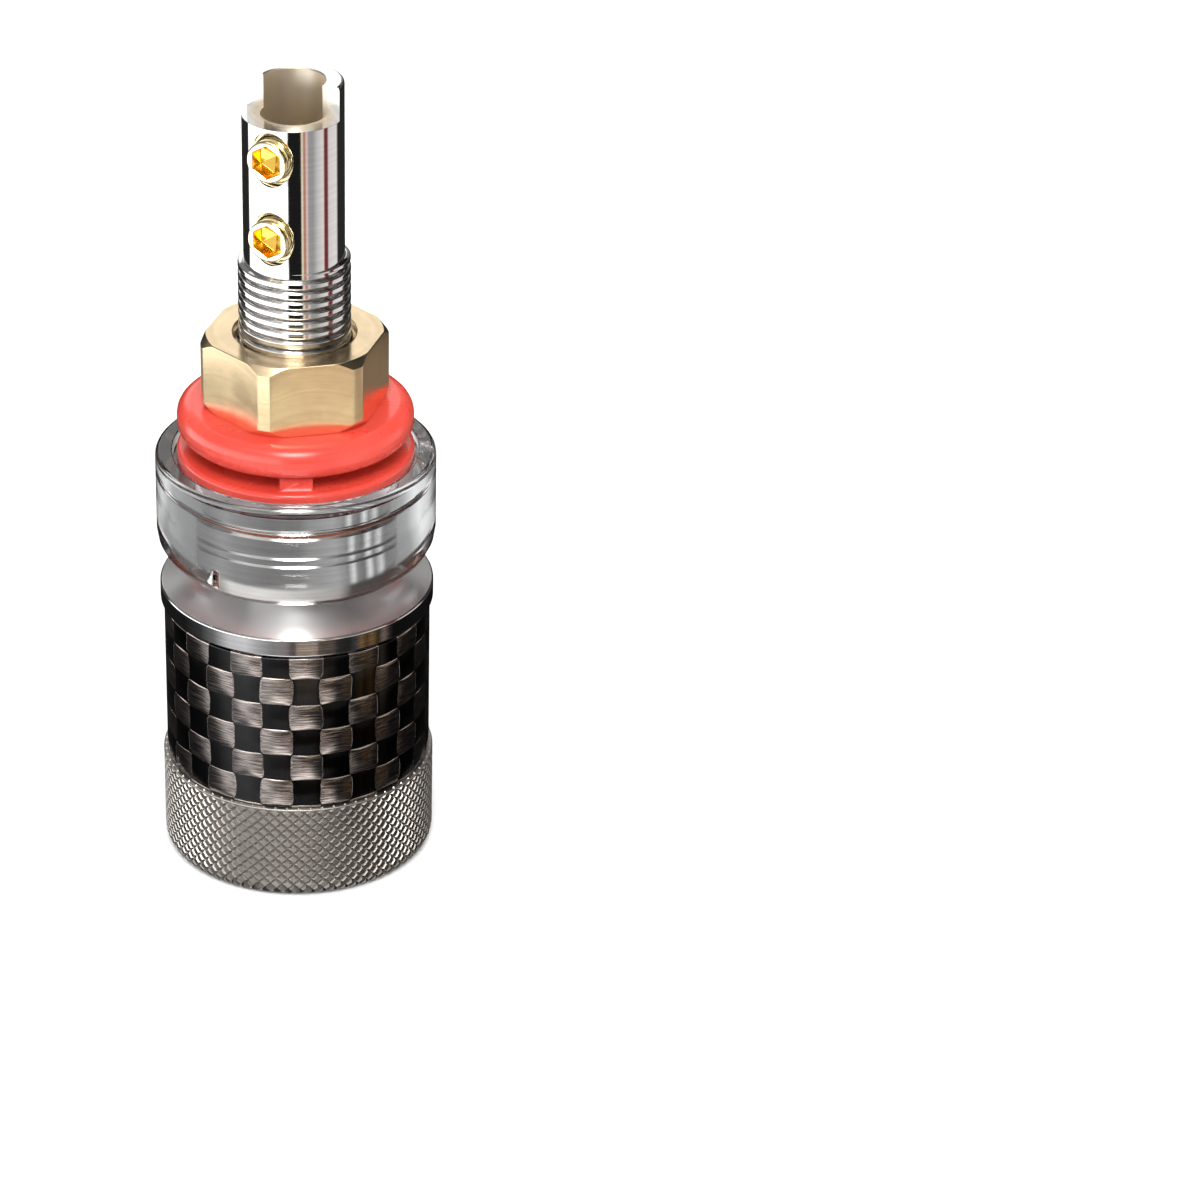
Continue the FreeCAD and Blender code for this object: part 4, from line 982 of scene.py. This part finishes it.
def clamp_screw(node, body, height):
    """A gold screw with a hexagon socket, set in the wire tube."""
    head = THREAD_ROOT + SCREW_STAND
    tip = head - SCREW_LENGTH
    point = SCREW_RADIUS - SCREW_TIP - 0.1
    root = SCREW_RADIUS - SCREW_THREAD_DEPTH

    def section_at(angle):
        """The screw's section at an angle, with the flat of its hexagon socket."""
        local = (angle + TURN / 12) % (TURN / 6) - TURN / 12
        key = SCREW_KEY / math.cos(local)
        return section([
            (0, tip), (point, tip), (root, tip + SCREW_TIP), (root, head - 0.34),
            (SCREW_RADIUS, head - 0.26), (SCREW_RADIUS, head, 0.14), (key, head, 0.08),
            (key, head - SCREW_KEY_DEPTH), (0, head - SCREW_KEY_DEPTH - 0.3),
        ], closed=False)

    screw = as_object(swept(section_at, even_angles(120), closed=False), "screw")
    gold = FINISHES["screw_gold"]
    grow(screw, THREAD, Root=root, Pitch=SCREW_PITCH, Depth=SCREW_THREAD_DEPTH * 0.9,
         Bottom=tip + 0.1, Turns=(SCREW_LENGTH - 0.45) / SCREW_PITCH, Steps=36, Material=gold)
    # the socket gets a rougher finish and a deeper amber colour that is painted shade and painted
    # reflection
    mark_inner(screw, lambda place: place.z < head - 0.1 and place.xy.length < SCREW_KEY * 1.2)
    turn = SCREW_AIM.to_track_quat("Z", "Y").to_matrix().to_4x4()
    finished(screw, node, body, gold, Matrix.Translation((0, 0, height)) @ turn)


# studio

def new_camera():
    """The camera at the photograph's place and angle."""
    data = bpy.data.cameras.new("camera")
    data.sensor_width = SENSOR
    data.lens = SENSOR * FOCAL_PIXELS / PHOTO_WIDTH
    data.clip_start = 0.01
    data.clip_end = 50
    camera = bpy.data.objects.new("camera", data)
    bpy.context.collection.objects.link(camera)
    axes = Matrix((CAMERA_RIGHT, CAMERA_UP, [-part for part in CAMERA_AHEAD])).transposed()
    place = Matrix.Translation(Vector(CAMERA_PLACE) * MILLIMETRE)
    camera.matrix_world = place @ axes.to_4x4()
    bpy.context.scene.camera = camera


def strip(tree, value, start, stop, soft):
    """A mask that is one between two values and fades outside them."""
    rise = ramp(tree, value, start - soft, start + soft)
    fall = ramp(tree, value, stop - soft, stop + soft, 1.0, 0.0)
    return calc(tree, "MULTIPLY", rise, fall)


# tints of the studio's light
PLAIN = (1.0, 1.0, 1.0)
SOFT = (1.0, 0.98, 0.95)
IVORY = (1.0, 0.94, 0.78)
CREAM = (1.0, 0.91, 0.69)
WARM = (1.0, 0.79, 0.63)
GOLD = (1.0, 0.58, 0.24)
PINK = (1.0, 0.89, 0.89)
ROSE = (1.0, 0.8, 0.76)
RUST = (1.0, 0.48, 0.35)
RED = (1.0, 0.22, 0.24)

# What each part of the post mirrors: azimuth from the front towards the right, brightness, tint.
# Wire tube and thread: a wide lit screen at the left, a dark card in front, warm, red and pale
# cards at the right.
TUBE_VIEW = (
    (-180, 0.022), (-118, 0.022), (-113, 2.3), (-14.6, 2.3), (-11.6, 0.012), (15.5, 0.012),
    (17.5, 0.95, CREAM), (19.4, 0.9, CREAM), (21.4, 0.48, RUST), (25.2, 0.48, RUST),
    (28.2, 0.85, ROSE), (33, 0.34), (42.7, 0.34), (54.4, 0.61), (64.2, 0.74, SOFT),
    (69, 0.85, ROSE), (71, 0.17, RED), (79.8, 0.17, RED), (82.7, 0.75, PINK), (95.4, 0.76),
    (109.2, 0.85, PINK), (114.1, 0.024), (180, 0.022),
)
# Nut: one broad warm screen in front.
NUT_VIEW = (
    (-180, 0.3, CREAM), (-120, 0.3, CREAM), (-80, 0.36, CREAM), (-60, 0.8, IVORY),
    (-12, 1.0, IVORY), (0, 1.1, IVORY), (50, 1.0, IVORY), (80, 0.5, CREAM), (120, 0.22, WARM),
    (180, 0.22, WARM),
)
# Ring and sleeve: a screen at the left, a warm card in front and thin gold ones at the right.
KNOB_VIEW = (
    (-180, 0.01), (-110, 0.012), (-90, 0.04), (-75, 0.16), (-60, 0.62), (-45, 0.7), (-35, 0.46),
    (-22, 0.25, SOFT), (-3, 0.22, ROSE), (0, 0.67, WARM), (15, 0.7, WARM), (18, 0.22, WARM),
    (30, 0.18, WARM), (34, 0.05), (44, 0.03), (51, 0.11), (56, 0.34, GOLD), (60, 0.12, GOLD),
    (66, 0.34, GOLD), (72, 0.05, GOLD), (78, 0.3, WARM), (84, 0.05, WARM), (88, 0.006),
    (180, 0.006),
)
# Knurl: a lit card in front of it.
KNURL_VIEW = (
    (-180, 0.01), (-90, 0.02), (-50, 0.05), (-22, 1.5, SOFT), (10, 1.5, SOFT), (38, 0.05),
    (80, 0.02), (180, 0.01),
)
# Clear collar, through it: grey walls with a few lit gaps.
GLASS_VIEW = (
    (-180, 0.89), (-164, 0.43), (-130, 0.335), (-104, 0.285), (-80, 0.365), (-64, 0.28),
    (-30, 0.215), (2, 0.235), (12, 0.335), (40, 0.465), (52, 0.3), (58, 0.9), (62, 0.3),
    (70, 0.2), (76, 0.95), (82, 0.25), (90, 0.8), (96, 0.25), (130, 0.4), (152, 0.94), (180, 0.94),
)
# Above the horizon: screens at the left and straight behind.
SKY_VIEW = (
    (-180, 1.35, SOFT), (-164, 1.35, SOFT), (-150, 0.2), (-90, 0.14), (-68, 0.95, SOFT),
    (-35, 0.95, SOFT), (-10, 0.8, SOFT), (15, 0.6, SOFT), (42, 0.48, SOFT), (56, 0.078, SOFT),
    (156, 0.078, SOFT), (171, 0.3, SOFT), (177, 1.35, SOFT), (180, 1.35, SOFT),
)

# bands of the studio between two elevations, in degrees
STEEP_DOWN = (-78, -62)
KNURL_BAND = (-60.0, -36.0)
RING_BAND = (-29.8, -28.3)
HORIZON = (-3, 5)
RING_TOP_BAND = (27.9, 42.0)
OVERHEAD = (45, 75)
# the shaded side, between two shares of a turn, with the front at a half
SHADED_SIDE = (0.48, 0.8)
SHADE = 0.9
# windows overhead: the direction's reach across and in depth, softness and brightness
BACK_WINDOW = ((-0.2, 0.2), (0.28, 0.68), 0.06, 3.5)
FRONT_WINDOW = ((-0.2, 0.16), (-0.78, -0.42), 0.14, 14.0)
BACKDROP = 0.93
# round screens near the post, in metres
BELT_RADIUS = 0.06
NUT_BELT = (0.0065, 0.0145)
TUBE_BELT = (0.0145, 0.047)
FLOOR_REACH = 3.0
FLOOR_SHADE = 0.86
LAMP_PLACE = Vector((-0.03, -0.55, 0.7))
LAMP_AIM = Vector((0, 0, 0.03))
LAMP_SIZE = 0.35
LAMP_POWER = 4.0


def tone(level, tint=PLAIN):
    """A colour of a brightness and a tint."""
    return [level * part for part in tint] + [1]


def round_position(tree, parts):
    """The azimuth of a direction or a place, as a share of a turn, with the front at a half."""
    azimuth = calc(tree, "ARCTAN2", parts[0], calc(tree, "MULTIPLY", parts[1], -1.0))
    return calc(tree, "MULTIPLY_ADD", azimuth, 1 / TURN, 0.5)


def round_view(tree, position, rows):
    """A colour by azimuth, from the rows of a view."""
    made = put(tree, "ShaderNodeValToRGB", {0: position})
    marks = made.color_ramp.elements
    marks.remove(marks[1])
    marks[0].color = tone(*rows[0][1:])
    for azimuth, *colour in rows[1:]:
        marks.new((azimuth + 180) / 360).color = tone(*colour)
    return made.outputs["Color"]


def window(tree, parts, around, across, depth, soft, level):
    """What lies around a window, with the window lit in it."""
    inside = calc(tree, "MULTIPLY", strip(tree, parts[0], *across, soft),
                  strip(tree, parts[1], *depth, soft))
    return blend(tree, inside, around, tone(level, SOFT))


def studio_light():
    """The studio round the post, by direction, and a pale backdrop for the camera."""
    world = bpy.data.worlds.new("studio")
    bpy.context.scene.world = world
    world.use_nodes = True
    tree = world.node_tree
    direction = put(tree, "ShaderNodeTexCoord").outputs["Generated"]
    parts = put(tree, "ShaderNodeSeparateXYZ", {0: direction}).outputs
    position = round_position(tree, parts)
    height = calc(tree, "MULTIPLY", calc(tree, "ARCSINE", parts[2]), 360 / TURN)
    path = put(tree, "ShaderNodeLightPath").outputs

    near_floor = blend(tree, ramp(tree, height, *STEEP_DOWN), tone(0.35, SOFT),
                       round_view(tree, position, KNOB_VIEW))
    beside_ring = calc(tree, "SUBTRACT", 1.0, strip(tree, height, *RING_BAND, 0.25))
    shaded = calc(tree, "MULTIPLY", beside_ring, strip(tree, position, *SHADED_SIDE, 0.01))
    dimmed = blend(tree, calc(tree, "MULTIPLY", shaded, SHADE), near_floor, tone(0.004))
    carded = blend(tree, strip(tree, height, *KNURL_BAND, 0.8), dimmed,
                   round_view(tree, position, KNURL_VIEW))
    lower = blend(tree, path["Is Transmission Ray"], carded, round_view(tree, position, GLASS_VIEW))

    open_sky = blend(tree, ramp(tree, height, *OVERHEAD), round_view(tree, position, SKY_VIEW),
                     tone(0.3))
    beyond_ring = blend(tree, ramp(tree, parts[0], -0.01, 0.02), tone(0.2), tone(0.01))
    banded = blend(tree, strip(tree, height, *RING_TOP_BAND, 0.25), open_sky, beyond_ring)
    back_lit = window(tree, parts, banded, *BACK_WINDOW)
    upper = window(tree, parts, back_lit, *FRONT_WINDOW)

    lights = blend(tree, ramp(tree, height, *HORIZON), lower, upper)
    plain = calc(tree, "MAXIMUM", path["Is Camera Ray"], path["Is Diffuse Ray"])
    studio = put(tree, "ShaderNodeBackground", {"Color": lights})
    backdrop = put(tree, "ShaderNodeBackground", {"Color": tone(BACKDROP)})
    either = put(tree, "ShaderNodeMixShader", {
        0: plain, 1: studio.outputs[0], 2: backdrop.outputs[0],
    })
    tree.links.new(either.outputs[0], tree.nodes["World Output"].inputs["Surface"])


def belt(name, low, high, rows):
    """A round screen that only the polished pieces behind the panel mirror."""
    solid = bmesh.new()
    bmesh.ops.create_cone(solid, cap_ends=False, segments=96, radius1=BELT_RADIUS,
                          radius2=BELT_RADIUS, depth=high - low,
                          matrix=Matrix.Translation((0, 0, (high + low) / 2)))
    material, tree, _ = new_material(name)
    place = put(tree, "ShaderNodeTexCoord").outputs["Object"]
    parts = put(tree, "ShaderNodeSeparateXYZ", {0: place}).outputs
    glow = put(tree, "ShaderNodeEmission", {
        0: round_view(tree, round_position(tree, parts), rows),
    })
    tree.links.new(glow.outputs[0], tree.nodes["Material Output"].inputs["Surface"])
    screen = as_object(solid, name)
    screen.data.materials.append(material)
    screen.visible_camera = False
    screen.visible_diffuse = False
    screen.visible_shadow = False
    screen.visible_transmission = False


def stage():
    """A pale floor, and the screens close to the post."""
    far = FLOOR_REACH
    mesh = bpy.data.meshes.new("floor")
    mesh.from_pydata([(-far, -far, 0), (far, -far, 0), (far, far, 0), (-far, far, 0)], [],
                     [(0, 1, 2, 3)])
    mesh.materials.append(new_material("floor", Base_Color=tone(FLOOR_SHADE), Roughness=0.6)[0])
    floor = bpy.data.objects.new("floor", mesh)
    bpy.context.collection.objects.link(floor)
    floor.visible_glossy = False
    floor.visible_transmission = False
    belt("nut_belt", *NUT_BELT, NUT_VIEW)
    belt("tube_belt", *TUBE_BELT, TUBE_VIEW)


def key_lamp():
    """A soft square lamp above the front, which isn't mirrored in anything."""
    data = bpy.data.lights.new("key", "AREA")
    data.size = LAMP_SIZE
    data.energy = LAMP_POWER
    made = bpy.data.objects.new("key", data)
    bpy.context.collection.objects.link(made)
    made.location = LAMP_PLACE
    made.rotation_euler = (LAMP_AIM - LAMP_PLACE).to_track_quat("-Z", "Y").to_euler()
    made.visible_glossy = False


def main():
    """Set the studio and make every piece."""
    bpy.context.scene.view_settings.view_transform = "Standard"
    new_camera()
    studio_light()
    stage()
    key_lamp()
    dress_frame()
    terminal_stud()
    knurled_cap()
    socket_insert()
    carbon_sleeve()
    pressure_ring()
    clear_collar()
    front_insulator()
    rear_washer()
    panel_nut()
    clamp_screw("lower_clamp_screw", "lower_screw", SCREW_HEIGHTS[0])
    clamp_screw("upper_clamp_screw", "upper_screw", SCREW_HEIGHTS[1])


main()
